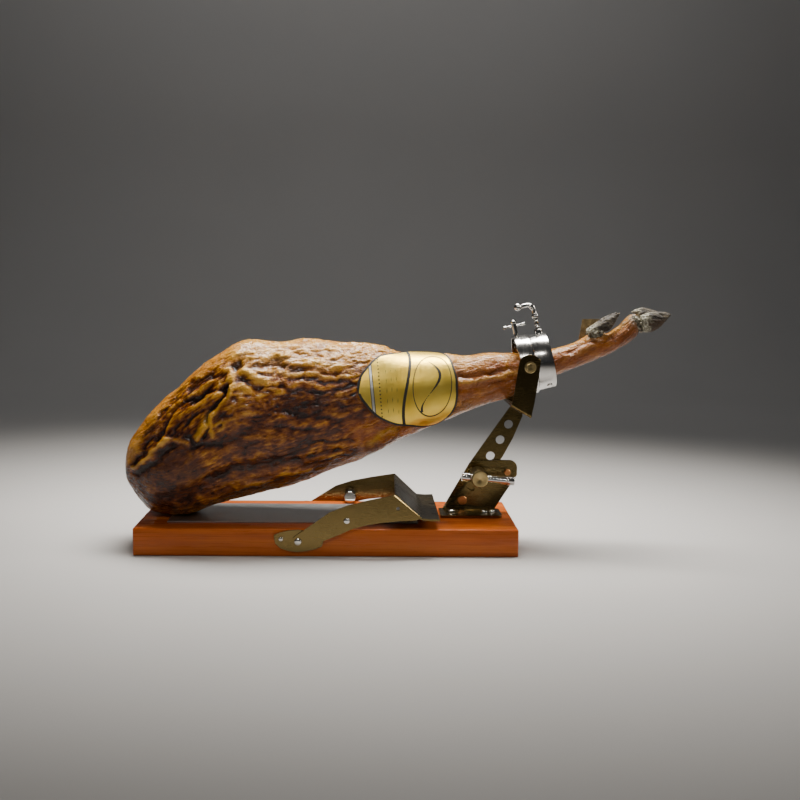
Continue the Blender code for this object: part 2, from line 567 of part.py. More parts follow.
def make_support(steel, polished):
    """The U of sheet with a toothed cross plate, its pivot plates, bolts and stops."""
    top, knee, lip = SUPPORT_TOP, SUPPORT_KNEE, SUPPORT_LIP
    dx, dz = knee[0] - top[0], knee[1] - top[1]
    length = math.hypot(dx, dz)
    sheet = SUPPORT_SHEET / MM
    inward = (dz / length * sheet, -dx / length * sheet)
    profile = [top, knee, (140.0, 53.4), lip, (lip[0], lip[1] - sheet), (140.0, 53.4 - sheet),
               (knee[0] - 1.2, knee[1] - sheet), (top[0] + inward[0], top[1] + inward[1])]
    cross = prism("support", scaled(profile), -SUPPORT_OUTER, SUPPORT_OUTER, steel)

    arm = [(-30.0, 38.0), (4.5, 62.6), (28.0, 71.6), (56.5, 78.9), top, knee]
    arm += [(119.0, 51.6), (96.0, 50.6), (75.0, 48.4), (54.0, 44.9), (34.0, 39.5), (15.5, 30.8), (-5.3, 22.5)]
    outline = scaled(arm) + arc(SUPPORT_PIVOT, 8.2 * MM, -72, -236, 8)
    for name, y_from, y_to in (("front arm", -SUPPORT_OUTER, -SUPPORT_INNER),
                               ("rear arm", SUPPORT_INNER, SUPPORT_OUTER)):
        combine(cross, prism(name, outline, y_from, y_to, None), "UNION")
        drill(cross, SUPPORT_PIVOT, BOLT_SHAFT - 0.7 * MM, y_from - MM, y_to + MM, 14)
        drill(cross, (95.8 * MM, 67.9 * MM), 2.5 * MM, y_from - MM, y_to + MM, 12)
    pitch = 2 * SUPPORT_OUTER / TONGUES
    for i in range(1, TONGUES):
        y = -SUPPORT_OUTER + pitch * i
        notch = scaled([(143.0, 40.0), (165.0, 40.0), (165.0, 66.0), (143.0, 66.0)])
        combine(cross, prism(f"slit {i}", notch, y - 1.3 * MM, y + 1.3 * MM, None), "DIFFERENCE")
    baked(cross)
    for vertex in cross.data.vertices:
        x, z = racked((vertex.co.x, vertex.co.z), vertex.co.y)
        vertex.co = (x, vertex.co.y, z)

    boat = scaled([(-71.0, 30.0), (-69.4, 19.0), (-62.0, 11.8), (-51.0, 8.0), (-39.6, 6.8), (-27.0, 8.0),
                   (-15.0, 11.0), (-6.0, 14.8), (-4.4, 22.0), (-12.0, 30.5), (-24.0, 35.8), (-38.0, 37.4),
                   (-52.0, 36.4), (-63.0, 33.6)])
    for side, name in ((-1, "front"), (1, "rear")):
        face, inner = side * PIVOT_PLATE_FACE, side * (PIVOT_PLATE_FACE - PIVOT_PLATE_SHEET)
        plate = prism(f"pivot_plate_{name}", boat, inner, face, steel)
        low, high = sorted((inner, face))
        drill(plate, SUPPORT_PIVOT, BOLT_SHAFT - 0.7 * MM, low - MM, high + MM, 14)
        round_bolt(f"pivot_plate_screw_{name}", -61.5 * MM, 24.8 * MM, face + side * GAP, side,
                   (3.3 * MM, 2 * MM), (1.6 * MM, 0.0), polished, segments=12)
        round_bolt(f"support_bolt_{name}", *SUPPORT_PIVOT, side * (SUPPORT_OUTER + GAP), side,
                   (4.9 * MM, 2.8 * MM), (BOLT_SHAFT - MM, SUPPORT_OUTER - BOARD_DEPTH / 2 - GAP), polished)
        x, z = racked(SUPPORT_STOP, side * SUPPORT_OUTER)
        round_bolt(f"support_stop_screw_{name}", x, z, side * (SUPPORT_OUTER + GAP), side,
                   (4.2 * MM, 2.6 * MM), (1.6 * MM, 0.0), polished)
        reach = SUPPORT_INNER - GAP - SUPPORT_STOP_END
        r = SUPPORT_STOP_RADIUS
        turned(f"support_stop_{name}", (x, side * (SUPPORT_INNER - GAP), z), (0, -side, 0),
               ((0, r), (reach - 0.8 * MM, r), (reach, r - 0.8 * MM)), polished, 14)


# ---- ham --------------------------------------------------------------------------------------

def smooth_between(values, places):
    """Read a Catmull-Rom curve through rows of values at fractional row places."""
    rows = np.vstack([2 * values[0] - values[1], values, 2 * values[-1] - values[-2]])
    first = np.clip(np.floor(places).astype(int), 0, len(values) - 2)
    t = (places - first)[:, None]
    a, b, c, d = (rows[first + k] for k in range(4))
    return 0.5 * (2 * b + (c - a) * t + (2 * a - 5 * b + 4 * c - d) * t**2 + (3 * b - a - 3 * c + d) * t**3)


def relief_at(x, z):
    """Relief height in mm of the label side at X, Z in mm."""
    height = np.zeros_like(x)
    for rise, width, line in RELIEF:
        near = np.full_like(x, np.inf)
        for (ax, az), (bx, bz) in zip(line, line[1:]):
            dx, dz = bx - ax, bz - az
            t = np.clip(((x - ax) * dx + (z - az) * dz) / (dx * dx + dz * dz), 0, 1)
            near = np.minimum(near, np.hypot(x - ax - t * dx, z - az - t * dz))
        height += rise * np.exp(-(near / width) ** 2)
    return height


def ham_surface(places, angles):
    """Points of the ham's skin in mm. Angles are degrees: 0 front, 90 top, 180 back, 270 below."""
    top_x, top_z, low_x, low_z, front, back = smooth_between(np.array(STATIONS), places).T[:, :, None]
    a = np.radians(angles)[None, :]
    s = np.sign(np.sin(a)) * np.abs(np.sin(a)) ** SECTION_POWER
    c = np.sign(np.cos(a)) * np.abs(np.cos(a)) ** SECTION_POWER
    x = (top_x + low_x) / 2 + (top_x - low_x) / 2 * s
    z = (top_z + low_z) / 2 + (top_z - low_z) / 2 * s
    y = -np.where(c > 0, front, back) * c
    y = y - relief_at(x, z) * np.clip(c, 0, 1) ** 0.7
    return np.stack([x, y, np.maximum(z, REST_Z / MM)], axis=-1)


def make_ham(skin):
    """The ham: sections lofted from the butt to the pastern, closed by a point at each end."""
    places = np.linspace(0, len(STATIONS) - 1, HAM_ALONG)
    angles = np.arange(HAM_AROUND) * 360 / HAM_AROUND
    grid = ham_surface(places, angles) * MM
    rings = [[Vector((BUTT_TIP[0] * MM, 0, BUTT_TIP[1] * MM))]]
    rings += [[Vector(p) for p in ring] for ring in grid]
    rings.append([Vector((SHANK_TIP[0] * MM, 0, SHANK_TIP[1] * MM))])
    add_object("ham", rings_to_bmesh(rings), skin, 60)


def lifted_point(x, degrees, lift, middles, places):
    """A point over the ham's skin at X in mm and an angle, lifted along the skin's normal."""
    place = np.interp(x, middles, places)
    step = 0.05
    here = ham_surface(place + np.array([-step, 0, step]), degrees + np.array([-2, 0, 2])) * MM
    normal = np.cross(here[2, 1] - here[0, 1], here[1, 2] - here[1, 0])
    return Vector(here[1, 1]) + Vector(normal).normalized() * lift


def make_label(foil):
    """The foil label: a sheet laid over the front of the leg, between its lower and upper edges."""
    places = np.linspace(0, len(STATIONS) - 1, 400)
    along = smooth_between(np.array(STATIONS), places)
    middles = (along[:, 0] + along[:, 2]) / 2
    columns = smooth_between(np.array(LABEL_EDGES), np.linspace(0, len(LABEL_EDGES) - 1, LABEL_COLUMNS))
    rings = []
    for x, low, high in columns:
        angles = np.linspace(low, high, LABEL_ROWS)
        under = [lifted_point(x, a, LABEL_OFFSET, middles, places) for a in angles]
        over = [lifted_point(x, a, LABEL_OFFSET + LABEL_SHEET, middles, places) for a in angles]
        rings.append(under + over[::-1])
    add_object("label", rings_to_bmesh(rings), foil, 60)


def make_tag(card):
    """The small card tag at the back of the pastern."""
    (x0, x1), (z0, z1) = TAG_X, TAG_Z
    prism("tag", [(x0, z0), (x1, z0), (x1, z1), (x0, z1)], TAG_FRONT, TAG_FRONT + TAG_SHEET, card)


def horn_piece(name, sections, tip, y_middle, material, around=10):
    """A horn lofted from X, low Z, high Z, half width sections to its tip."""
    rings = []
    for x, low, high, half in sections:
        ring = []
        for i in range(around):
            a = 2 * math.pi * i / around
            z = (low + high) / 2 + (high - low) / 2 * math.sin(a)
            ring.append(Vector((x * MM, y_middle + half * MM * math.cos(a), z * MM)))
        rings.append(ring)
    rings.append([Vector((tip[0] * MM, y_middle, tip[1] * MM))])
    add_object(name, rings_to_bmesh(rings), material, 50)


def make_horns(horn):
    """Two hooves and two dewclaws."""
    horn_piece("hoof_near", NEAR_HOOF, NEAR_HOOF_TIP, -HOOF_SPREAD, horn)
    horn_piece("hoof_far", FAR_HOOF, FAR_HOOF_TIP, HOOF_SPREAD, horn)
    for side, name in ((-1, "near"), (1, "far")):
        horn_piece(f"dewclaw_{name}", DEWCLAW, DEWCLAW_TIP, side * DEWCLAW_SPREAD, horn)


def main():
    """Build the ham and its stand."""
    for obj in list(bpy.data.objects):
        bpy.data.objects.remove(obj, do_unlink=True)
    finishes = make_finishes()
    make_board(finishes["wood"], finishes["steel"])
    make_bracket(finishes["steel"], finishes["polished"])
    make_arm(finishes["steel"], finishes["polished"])
    make_yoke(finishes["steel"])
    make_rings(finishes["polished"], finishes["steel"])
    make_hand_screws(finishes["polished"])
    make_support(finishes["steel"], finishes["polished"])
    make_ham(finishes["ham"])
    make_label(finishes["foil"])
    make_tag(finishes["card"])
    make_horns(finishes["horn"])


main()
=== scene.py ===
"""Looks of a whole cured ham clamped in its carving stand.

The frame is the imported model: +X runs from the butt to the hoof, +Z is up and -Y is the label side.
Every piece takes its place from the frame's nodes and rides on one of its bodies.
"""

import json
import logging
import math
from dataclasses import dataclass, field
from enum import Enum
from typing import Callable, Sequence

import bmesh
import bpy
import numpy as np
from mathutils import Matrix, Vector, noise


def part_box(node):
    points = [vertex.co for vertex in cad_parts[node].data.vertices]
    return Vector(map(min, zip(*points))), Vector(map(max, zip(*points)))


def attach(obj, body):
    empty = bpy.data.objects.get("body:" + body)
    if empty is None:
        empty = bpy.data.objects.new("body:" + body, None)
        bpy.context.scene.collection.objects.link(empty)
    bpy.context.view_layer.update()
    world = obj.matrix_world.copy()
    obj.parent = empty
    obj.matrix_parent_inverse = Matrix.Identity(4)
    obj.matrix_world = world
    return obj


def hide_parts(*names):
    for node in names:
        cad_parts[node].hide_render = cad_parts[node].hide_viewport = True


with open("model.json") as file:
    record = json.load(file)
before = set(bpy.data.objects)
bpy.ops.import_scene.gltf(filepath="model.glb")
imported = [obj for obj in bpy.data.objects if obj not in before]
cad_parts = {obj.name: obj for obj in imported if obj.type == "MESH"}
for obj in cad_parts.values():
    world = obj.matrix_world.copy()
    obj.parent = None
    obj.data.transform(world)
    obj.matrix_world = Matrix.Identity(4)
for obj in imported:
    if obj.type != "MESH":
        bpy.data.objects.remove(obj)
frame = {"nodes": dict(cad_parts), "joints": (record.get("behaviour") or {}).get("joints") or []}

LOG = logging.getLogger("ham")
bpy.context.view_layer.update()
MM = 0.001
Colour = tuple[float, float, float]
Pair = tuple[float, float]


class Body(Enum):
    """The frame's bodies."""

    STAND = "stand"
    SUPPORT = "support"
    ARM = "arm"
    CLAMP = "clamp_handle"
    HEAD = "head"
    RING_SCREW = "ring_screw"
    LEVER = "lever_screw"


class Tint(Enum):
    """What a stroke of flesh does to the colour, as the name of its attribute."""

    NONE = ""
    # Pale fat, and painted highlights on lumps and the top of the leg.
    PALE = "pale"
    # Painted shade in creases, pits, hollows and the valley, and darker lean.
    DARK = "dark"
    OLIVE = "olive"
    AMBER = "amber"
    WET = "wet"
    GREY = "grey"


# ---- materials --------------------------------------------------------------------------------

class Graph:
    """A material's node graph, written in the order that it is read."""

    def __init__(self, name: str) -> None:
        """Start a material with one Principled shader."""
        self.material = bpy.data.materials.new(name)
        self.material.use_nodes = True
        self.tree = self.material.node_tree
        self.shader = self.tree.nodes["Principled BSDF"]

    def add(self, kind: str, inputs: dict | None = None, **settings: object) -> bpy.types.Node:
        """Add a node.

        Args:
            kind: the node's type.
            inputs: sockets or values by input name or number.
            settings: the node's own properties.

        Returns:
            The new node.
        """
        node = self.tree.nodes.new(kind)
        for key, value in settings.items():
            setattr(node, key, value)
        for key, value in (inputs or {}).items():
            if isinstance(value, bpy.types.NodeSocket):
                self.tree.links.new(value, node.inputs[key])
            else:
                node.inputs[key].default_value = value
        return node

    def place(self, scale: tuple[float, float, float] = (1, 1, 1),
              turn: tuple[float, float, float] = (0, 0, 0)) -> bpy.types.NodeSocket:
        """Object coordinates, scaled and turned (degrees)."""
        here = self.add("ShaderNodeTexCoord").outputs["Object"]
        angles = tuple(math.radians(t) for t in turn)
        return self.add("ShaderNodeMapping", {"Vector": here, "Scale": scale, "Rotation": angles}).outputs[0]

    def attribute(self, name: str) -> bpy.types.NodeSocket:
        """A number that the mesh carries."""
        return self.add("ShaderNodeAttribute", attribute_name=name).outputs["Fac"]

    def noise(self, vector: bpy.types.NodeSocket, scale: float, detail: float = 4.0,
              roughness: float = 0.55, distortion: float = 0.0) -> bpy.types.NodeSocket:
        """Cloudy noise from 0 to 1."""
        return self.add("ShaderNodeTexNoise", {"Vector": vector, "Scale": scale, "Detail": detail,
                                               "Roughness": roughness, "Distortion": distortion}).outputs[0]

    def cells(self, vector: bpy.types.NodeSocket, scale: float, feature: str = "F1") -> bpy.types.NodeSocket:
        """Distance to the nearest of a scatter of points."""
        return self.add("ShaderNodeTexVoronoi", {"Vector": vector, "Scale": scale},
                        feature=feature).outputs["Distance"]

    def math(self, operation: str, *values: object) -> bpy.types.NodeSocket:
        """One sum on sockets or numbers."""
        return self.add("ShaderNodeMath", dict(enumerate(values)), operation=operation).outputs[0]

    def span(self, value: bpy.types.NodeSocket, low: float, high: float, start: float = 0.0,
             end: float = 1.0) -> bpy.types.NodeSocket:
        """Turn a value's run from low to high into one from start to end, clamped and eased."""
        return self.add("ShaderNodeMapRange", {"Value": value, "From Min": low, "From Max": high,
                                               "To Min": start, "To Max": end},
                        interpolation_type="SMOOTHSTEP").outputs[0]

    def ramp(self, value: bpy.types.NodeSocket,
             stops: Sequence[tuple[float, Colour]]) -> bpy.types.NodeSocket:
        """A colour from a value, by its stops."""
        node = self.add("ShaderNodeValToRGB", {0: value})
        elements = node.color_ramp.elements
        while len(elements) < len(stops):
            elements.new(0.5)
        for element, (where, colour) in zip(elements, stops):
            element.position = where
            element.color = (*colour, 1.0)
        return node.outputs[0]

    def mix(self, factor: object, first: object, second: object,
            blend: str = "MIX") -> bpy.types.NodeSocket:
        """Blend two colours, each a socket or a colour."""
        rgba = [v if isinstance(v, bpy.types.NodeSocket) else (*v, 1.0) for v in (first, second)]
        return self.add("ShaderNodeMix", {0: factor, 6: rgba[0], 7: rgba[1]}, data_type="RGBA",
                        blend_type=blend).outputs[2]

    def bump(self, height: bpy.types.NodeSocket, depth: float,
             under: bpy.types.NodeSocket | None = None) -> bpy.types.NodeSocket:
        """Raise the surface by a height from 0 to 1 times a depth in metres."""
        inputs = {"Height": height, "Distance": depth, "Strength": 1.0}
        if under is not None:
            inputs["Normal"] = under
        return self.add("ShaderNodeBump", inputs).outputs[0]

    def finish(self, **inputs: object) -> bpy.types.Material:
        """Set the shader's inputs, with a space written as an underscore, and hand the material over."""
        for key, value in inputs.items():
            socket = self.shader.inputs[key.replace("_", " ")]
            if isinstance(value, bpy.types.NodeSocket):
                self.tree.links.new(value, socket)
            elif isinstance(value, tuple) and len(value) == 3 and socket.type == "RGBA":
                socket.default_value = (*value, 1.0)
            else:
                socket.default_value = value
        return self.material


@dataclass(frozen=True)
class BrushedSteel:
    """Sheet or turned steel with fine lines along one direction."""

    name: str
    colour: Colour
    roughness: float
    lines: tuple[float, float, float]
    turn: tuple[float, float, float] = (0, 0, 0)
    depth: float = 0.02 * MM

    def material(self) -> bpy.types.Material:
        """Build the steel.

        Returns:
            The material, with lines in its colour, gloss and surface, and soft smudges.
        """
        g = Graph(self.name)
        lines = g.noise(g.place(self.lines, self.turn), 1.0, 3.0, 0.7)
        smudge = g.noise(g.place(), 38.0, 3.0, 0.6)
        shade = g.ramp(lines, ((0.3, tuple(0.92 * c for c in self.colour)), (0.7, self.colour)))
        gloss = g.math("ADD", g.span(lines, 0.3, 0.7, self.roughness - 0.03, self.roughness + 0.04),
                       g.span(smudge, 0.35, 0.75, -0.02, 0.04))
        dull = tuple(0.7 * c for c in self.colour)
        return g.finish(Base_Color=g.mix(g.span(smudge, 0.4, 0.8, 0.0, 0.15), shade, dull), Metallic=1.0, Roughness=gloss, Normal=g.bump(lines, self.depth))


@dataclass(frozen=True)
class FacedMetal:
    """Turned metal with circular tool marks, led by each point's distance and turn about the axis."""

    name: str = "faced brass"
    colour: Colour = (0.5, 0.38, 0.17)
    pitch: float = 0.35 * MM

    def material(self) -> bpy.types.Material:
        """Build the metal, ringed like a record."""
        g = Graph(self.name)
        marks = g.math("SINE", g.math("MULTIPLY", g.attribute("reach"), 2 * math.pi / self.pitch))
        tone = g.ramp(g.noise(g.place(), 120.0), ((0.3, tuple(0.85 * c for c in self.colour)), (0.7, self.colour)))
        spin = g.add("ShaderNodeAttribute", attribute_name="spin").outputs["Vector"]
        return g.finish(Base_Color=tone, Metallic=1.0, Roughness=g.span(marks, -1.0, 1.0, 0.28, 0.32),
                        Anisotropic=0.75, Tangent=spin)


@dataclass(frozen=True)
class VarnishedWood:
    """Reddish plank wood under a satin varnish, with the grain along X."""

    light: Colour = (0.4, 0.085, 0.004)
    dark: Colour = (0.16, 0.022, 0.001)
    roughness: float = 0.22

    def material(self) -> bpy.types.Material:
        """Build the wood.

        Returns:
            The material, with growth bands, long fibres and pores.
        """
        g = Graph("varnished plank")
        sway = g.noise(g.place((1.2, 7.0, 7.0)), 1.0, 2.0)
        bands = g.noise(g.place((2.2, 34.0, 55.0), (3, 0, 2)), 1.0, 4.0, 0.6, 0.5)
        fibres = g.noise(g.place((14.0, 420.0, 420.0)), 1.0, 3.0, 0.7)
        pores = g.cells(g.place((90.0, 900.0, 900.0)), 1.0)
        tone = g.math("ADD", g.math("MULTIPLY", bands, 0.7), g.math("MULTIPLY", fibres, 0.3))
        wood = g.ramp(tone, ((0.32, self.dark), (0.52, self.light), (0.72, (0.58, 0.17, 0.012))))
        wood = g.mix(g.span(sway, 0.35, 0.7, 0.0, 0.4), wood, (0.32, 0.055, 0.004))
        wood = g.mix(g.span(pores, 0.0, 0.22, 0.45, 0.0), wood, (0.08, 0.014, 0.003))
        return g.finish(Base_Color=wood, Roughness=g.span(fibres, 0.3, 0.7, self.roughness, 0.44),
                        Specular_IOR_Level=0.28, Normal=g.bump(fibres, 0.05 * MM))


@dataclass(frozen=True)
class CuredFlesh:
    """The ham's whole surface, led by the masks that its mesh carries."""

    name: str = "cured flesh and rind"

    def material(self) -> bpy.types.Material:
        """Build the ham's surface.

        Returns:
            The material: brown folds with painted shade in their hollows, golden ridges with painted light, waxy fat
                with painted highlights, amber skin and a greasy gloss.
        """
        g = Graph(self.name)
        plain = g.place()
        flow = g.add("ShaderNodeAttribute", attribute_name="flow").outputs["Vector"]

        def fibres(along: float, across: float, detail: float) -> bpy.types.NodeSocket:
            """Noise drawn out along the leg."""
            stretched = g.add("ShaderNodeMapping", {"Vector": flow, "Scale": (along, across, across)}).outputs[0]
            return g.noise(stretched, 1.0, detail, 0.6)

        grain = fibres(105.0, 310.0, 5.0)
        mottle = g.noise(plain, 46.0, 6.0, 0.6, 0.4)
        blush = fibres(15.0, 27.0, 4.0)
        specks = g.noise(plain, 420.0, 3.0, 0.6)
        # The ridge value and its noise set the flesh colour: near black in the hollows as painted shade, golden on
        # raised folds and upper faces as painted light, with the noise as the meat's own tone.
        ridge = g.math("ADD", g.attribute("ridge"), g.math("MULTIPLY", g.math("SUBTRACT", grain, 0.5), 0.8))
        ridge = g.math("ADD", ridge, g.math("MULTIPLY", g.math("SUBTRACT", mottle, 0.5), 0.9))
        ridge = g.math("ADD", ridge, g.math("MULTIPLY", g.math("SUBTRACT", blush, 0.5), 0.8))
        flesh = g.ramp(ridge, ((0.15, (0.014, 0.002, 0.0003)), (0.37, (0.08, 0.015, 0.0008)),
                               (0.53, (0.2, 0.052, 0.002)), (0.69, (0.38, 0.135, 0.006)),
                               (0.9, (0.64, 0.31, 0.025))))
        rind = g.ramp(mottle, ((0.3, (0.34, 0.11, 0.006)), (0.52, (0.5, 0.195, 0.014)),
                               (0.72, (0.64, 0.29, 0.03))))
        # Colour for the dark mask: painted shade in creases, pits and the valley, and darker lean.
        dark = g.ramp(g.math("ADD", mottle, g.math("MULTIPLY", g.math("SUBTRACT", ridge, 0.5), 0.5)),
                      ((0.3, (0.014, 0.003, 0.0006)), (0.6, (0.07, 0.013, 0.001)), (0.8, (0.15, 0.036, 0.002))))
        olive = g.ramp(mottle, ((0.3, (0.3, 0.125, 0.004)), (0.7, (0.66, 0.36, 0.015))))
        amber = g.ramp(g.math("ADD", g.math("MULTIPLY", grain, 0.5), g.math("MULTIPLY", mottle, 0.5)),
                       ((0.3, (0.09, 0.014, 0.0005)), (0.5, (0.26, 0.06, 0.0016)), (0.7, (0.5, 0.18, 0.008))))
        # Colour for the pale mask: waxy fat, and painted highlights on lumps and the top of the leg.
        fat_and_painted_highlight = g.ramp(ridge, ((0.15, (0.3, 0.11, 0.008)), (0.45, (0.52, 0.25, 0.03)), (0.8, (0.66, 0.36, 0.055))))
        scaly = g.ramp(g.noise(plain, 240.0, 4.0, 0.7), ((0.37, (0.022, 0.016, 0.008)), (0.52, (0.14, 0.12, 0.075)),
                                                         (0.66, (0.42, 0.39, 0.3))))
        shade = g.mix(g.attribute("smooth"), flesh, rind)
        for mask, colour in (("amber", amber), ("pale", fat_and_painted_highlight), ("olive", olive), ("dark", dark), ("grey", scaly)):
            shade = g.mix(g.attribute(mask), shade, colour)
        shade = g.mix(g.span(specks, 0.6, 0.78, 0.0, 0.45), shade, (0.06, 0.013, 0.001))
        wet = g.attribute("wet")
        gloss = g.math("SUBTRACT", g.span(grain, 0.3, 0.7, 0.12, 0.28), g.math("MULTIPLY", wet, 0.1))
        gloss = g.math("ADD", gloss, g.math("MULTIPLY", g.attribute("smooth"), 0.06))
        beads = g.cells(plain, 300.0, "SMOOTH_F1")
        fine = g.bump(beads, 1.1 * MM)
        fine = g.bump(fibres(180.0, 420.0, 3.0), 1.6 * MM, fine)
        fine = g.bump(grain, 2.2 * MM, fine)
        return g.finish(Base_Color=shade, Roughness=gloss, Normal=g.bump(mottle, 2.6 * MM, fine),
                        Specular_IOR_Level=0.3, Coat_Weight=0.32, Coat_Roughness=0.13,
                        Subsurface_Weight=0.05, Subsurface_Radius=(1.0, 0.3, 0.06), Subsurface_Scale=2.0 * MM)


@dataclass(frozen=True)
class GreyHorn:
    """Weathered hoof horn: grey streaks along the claw, and darker brown towards the bottom of the hoof."""

    name: str = "weathered horn"

    def material(self) -> bpy.types.Material:
        """Build the horn.

        Returns:
            The material, streaked along X and scaly.
        """
        g = Graph(self.name)
        streaks = g.noise(g.place((70.0, 520.0, 420.0), (0, -24, 0)), 1.0, 4.0, 0.65)
        patches = g.noise(g.place(), 90.0, 4.0, 0.6)
        horn = g.ramp(g.math("ADD", g.math("MULTIPLY", streaks, 0.6), g.math("MULTIPLY", patches, 0.4)),
                      ((0.36, (0.007, 0.004, 0.002)), (0.53, (0.04, 0.028, 0.013)), (0.68, (0.26, 0.21, 0.13))))
        # Darker brown towards the bottom of each hoof.
        horn = g.mix(g.attribute("sole"), horn, g.ramp(streaks, ((0.35, (0.02, 0.009, 0.003)),
                                                                 (0.65, (0.08, 0.04, 0.013)))))
        crust = g.noise(g.place(), 330.0, 4.0, 0.7)
        crown = g.ramp(crust, ((0.35, (0.07, 0.06, 0.035)), (0.5, (0.27, 0.25, 0.17)), (0.65, (0.62, 0.6, 0.5))))
        horn = g.mix(g.attribute("crown"), horn, crown)
        rough = g.bump(crust, 1.2 * MM)
        return g.finish(Base_Color=horn, Roughness=g.span(patches, 0.3, 0.7, 0.4, 0.64),
                        Normal=g.bump(streaks, 0.8 * MM, rough))


@dataclass(frozen=True)
class GoldFoil:
    """Gold label foil with a black border and ruled ornament, drawn from distances on the mesh."""

    gold: Colour = (0.88, 0.66, 0.13)
    ink: Colour = (0.006, 0.005, 0.004)

    def line(self, g: Graph, name: str, half: float, soft: float = 0.22) -> bpy.types.NodeSocket:
        """A mask that is 1 within half a width, in mm, of where a distance is zero."""
        away = g.math("ABSOLUTE", g.attribute(name))
        return g.span(away, half, half + soft, 1.0, 0.0)

    def material(self) -> bpy.types.Material:
        """Build the foil.

        Returns:
            The material: brushed gold with ink lines and a silver band.
        """
        g = Graph("gold label foil")
        cloud = g.noise(g.place(), 24.0, 3.0)
        lines = g.noise(g.place((700.0, 60.0, 18.0)), 1.0, 2.0)
        gold = g.ramp(cloud, ((0.3, (0.76, 0.5, 0.055)), (0.7, self.gold)))
        silver = self.line(g, "band", 1.5)
        gold = g.mix(silver, gold, (0.62, 0.63, 0.62))
        inks = [self.line(g, "edge", 3.0), self.line(g, "divider", 2.0), self.line(g, "scroll", 1.0),
                self.line(g, "oval", 0.5), self.line(g, "rules", 0.25, 0.2), self.line(g, "dots", 0.6)]
        for offset in (2.0, -2.0):
            away = g.math("ABSOLUTE", g.math("SUBTRACT", g.attribute("band"), offset))
            inks.append(g.span(away, 0.35, 0.6, 1.0, 0.0))
        ink = inks[0]
        for more in inks[1:]:
            ink = g.math("MAXIMUM", ink, more)
        crease = g.noise(g.place((50.0, 90.0, 90.0)), 1.0, 3.0)
        return g.finish(Base_Color=g.mix(ink, gold, self.ink), Metallic=g.math("SUBTRACT", 0.93, ink),
                        Roughness=g.math("ADD", g.span(lines, 0.3, 0.7, 0.36, 0.44), g.math("MULTIPLY", ink, 0.2)),
                        Normal=g.bump(crease, 0.5 * MM))


@dataclass(frozen=True)
class StiffCard:
    """Greasy brown card with a rough face."""

    name: str = "greasy tag card"

    def material(self) -> bpy.types.Material:
        """Build the card, mottled olive brown."""
        g = Graph(self.name)
        mottle = g.noise(g.place(), 150.0, 5.0, 0.65)
        card = g.ramp(mottle, ((0.3, (0.09, 0.06, 0.022)), (0.55, (0.24, 0.175, 0.075)), (0.75, (0.4, 0.31, 0.16))))
        return g.finish(Base_Color=card, Roughness=g.span(mottle, 0.3, 0.7, 0.5, 0.75),
                        Normal=g.bump(mottle, 0.5 * MM))


@dataclass(frozen=True)
class StudioPaint:
    """The pale matt paint of the studio sweep."""

    colour: Colour = (0.43, 0.42, 0.41)

    def material(self) -> bpy.types.Material:
        """Build the paint, with a faint unevenness."""
        g = Graph("pale studio paint")
        cloud = g.noise(g.place(), 3.0, 2.0)
        tone = g.ramp(cloud, ((0.3, tuple(0.97 * c for c in self.colour)), (0.7, self.colour)))
        return g.finish(Base_Color=tone, Roughness=0.85)


@dataclass
class Finishes:
    """Every finish of the object, built once."""

    wood: bpy.types.Material = field(default_factory=lambda: VarnishedWood().material())
    # The sheet steel's dark olive-gold colour is steel with a painted reflection of the dark surroundings and the
    # warm wood and ham.
    sheet: bpy.types.Material = field(default_factory=lambda: BrushedSteel(
        "satin sheet steel", (0.165, 0.118, 0.045), 0.25, (60, 1300, 1300), (0, -25, 0), 0.002 * MM).material())
    tray: bpy.types.Material = field(default_factory=lambda: BrushedSteel(
        "satin tray steel", (0.6, 0.6, 0.59), 0.34, (12, 900, 900)).material())
    turned: bpy.types.Material = field(default_factory=lambda: BrushedSteel(
        "bright turned steel", (0.6, 0.59, 0.57), 0.16, (900, 60, 60), (0, -13, 0), 0.002 * MM).material())
    faced: bpy.types.Material = field(default_factory=lambda: FacedMetal().material())
    copper: bpy.types.Material = field(default_factory=lambda: FacedMetal(
        "faced copper", (0.6, 0.27, 0.1)).material())
    bright: bpy.types.Material = field(default_factory=lambda: BrushedSteel(
        "polished rivet steel", (0.62, 0.61, 0.58), 0.14, (300, 300, 300), depth=0.001 * MM).material())
    flesh: bpy.types.Material = field(default_factory=lambda: CuredFlesh().material())
    horn: bpy.types.Material = field(default_factory=lambda: GreyHorn().material())
    foil: bpy.types.Material = field(default_factory=lambda: GoldFoil().material())
    card: bpy.types.Material = field(default_factory=lambda: StiffCard().material())


# ---- mesh tools -------------------------------------------------------------------------------

def settle(name: str, mesh: bpy.types.Mesh, material: bpy.types.Material, body: Body, slot: str,
           *nodes: str, sharp: float = 32.0) -> bpy.types.Object:
    """Finish a mesh as a piece of the object.

    Args:
        name: the piece's name.
        mesh: the mesh, with its place in its vertices.
        material: its finish.
        body: the body that it rides on.
        slot: the record's material slot; not used.
        nodes: the CAD nodes that it stands for.
        sharp: edges steeper than this many degrees stay crisp.

    Returns:
        The piece.
    """
    mesh.name = name
    mesh.shade_smooth()
    mesh.set_sharp_from_angle(angle=math.radians(sharp))
    mesh.materials.clear()
    mesh.materials.append(material)
    piece = bpy.data.objects.new(name, mesh)
    bpy.context.scene.collection.objects.link(piece)
    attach(piece, body.value)
    if nodes:
        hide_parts(*nodes)
    LOG.info("%s: %d faces on %s", name, len(mesh.polygons), body.value)
    return piece


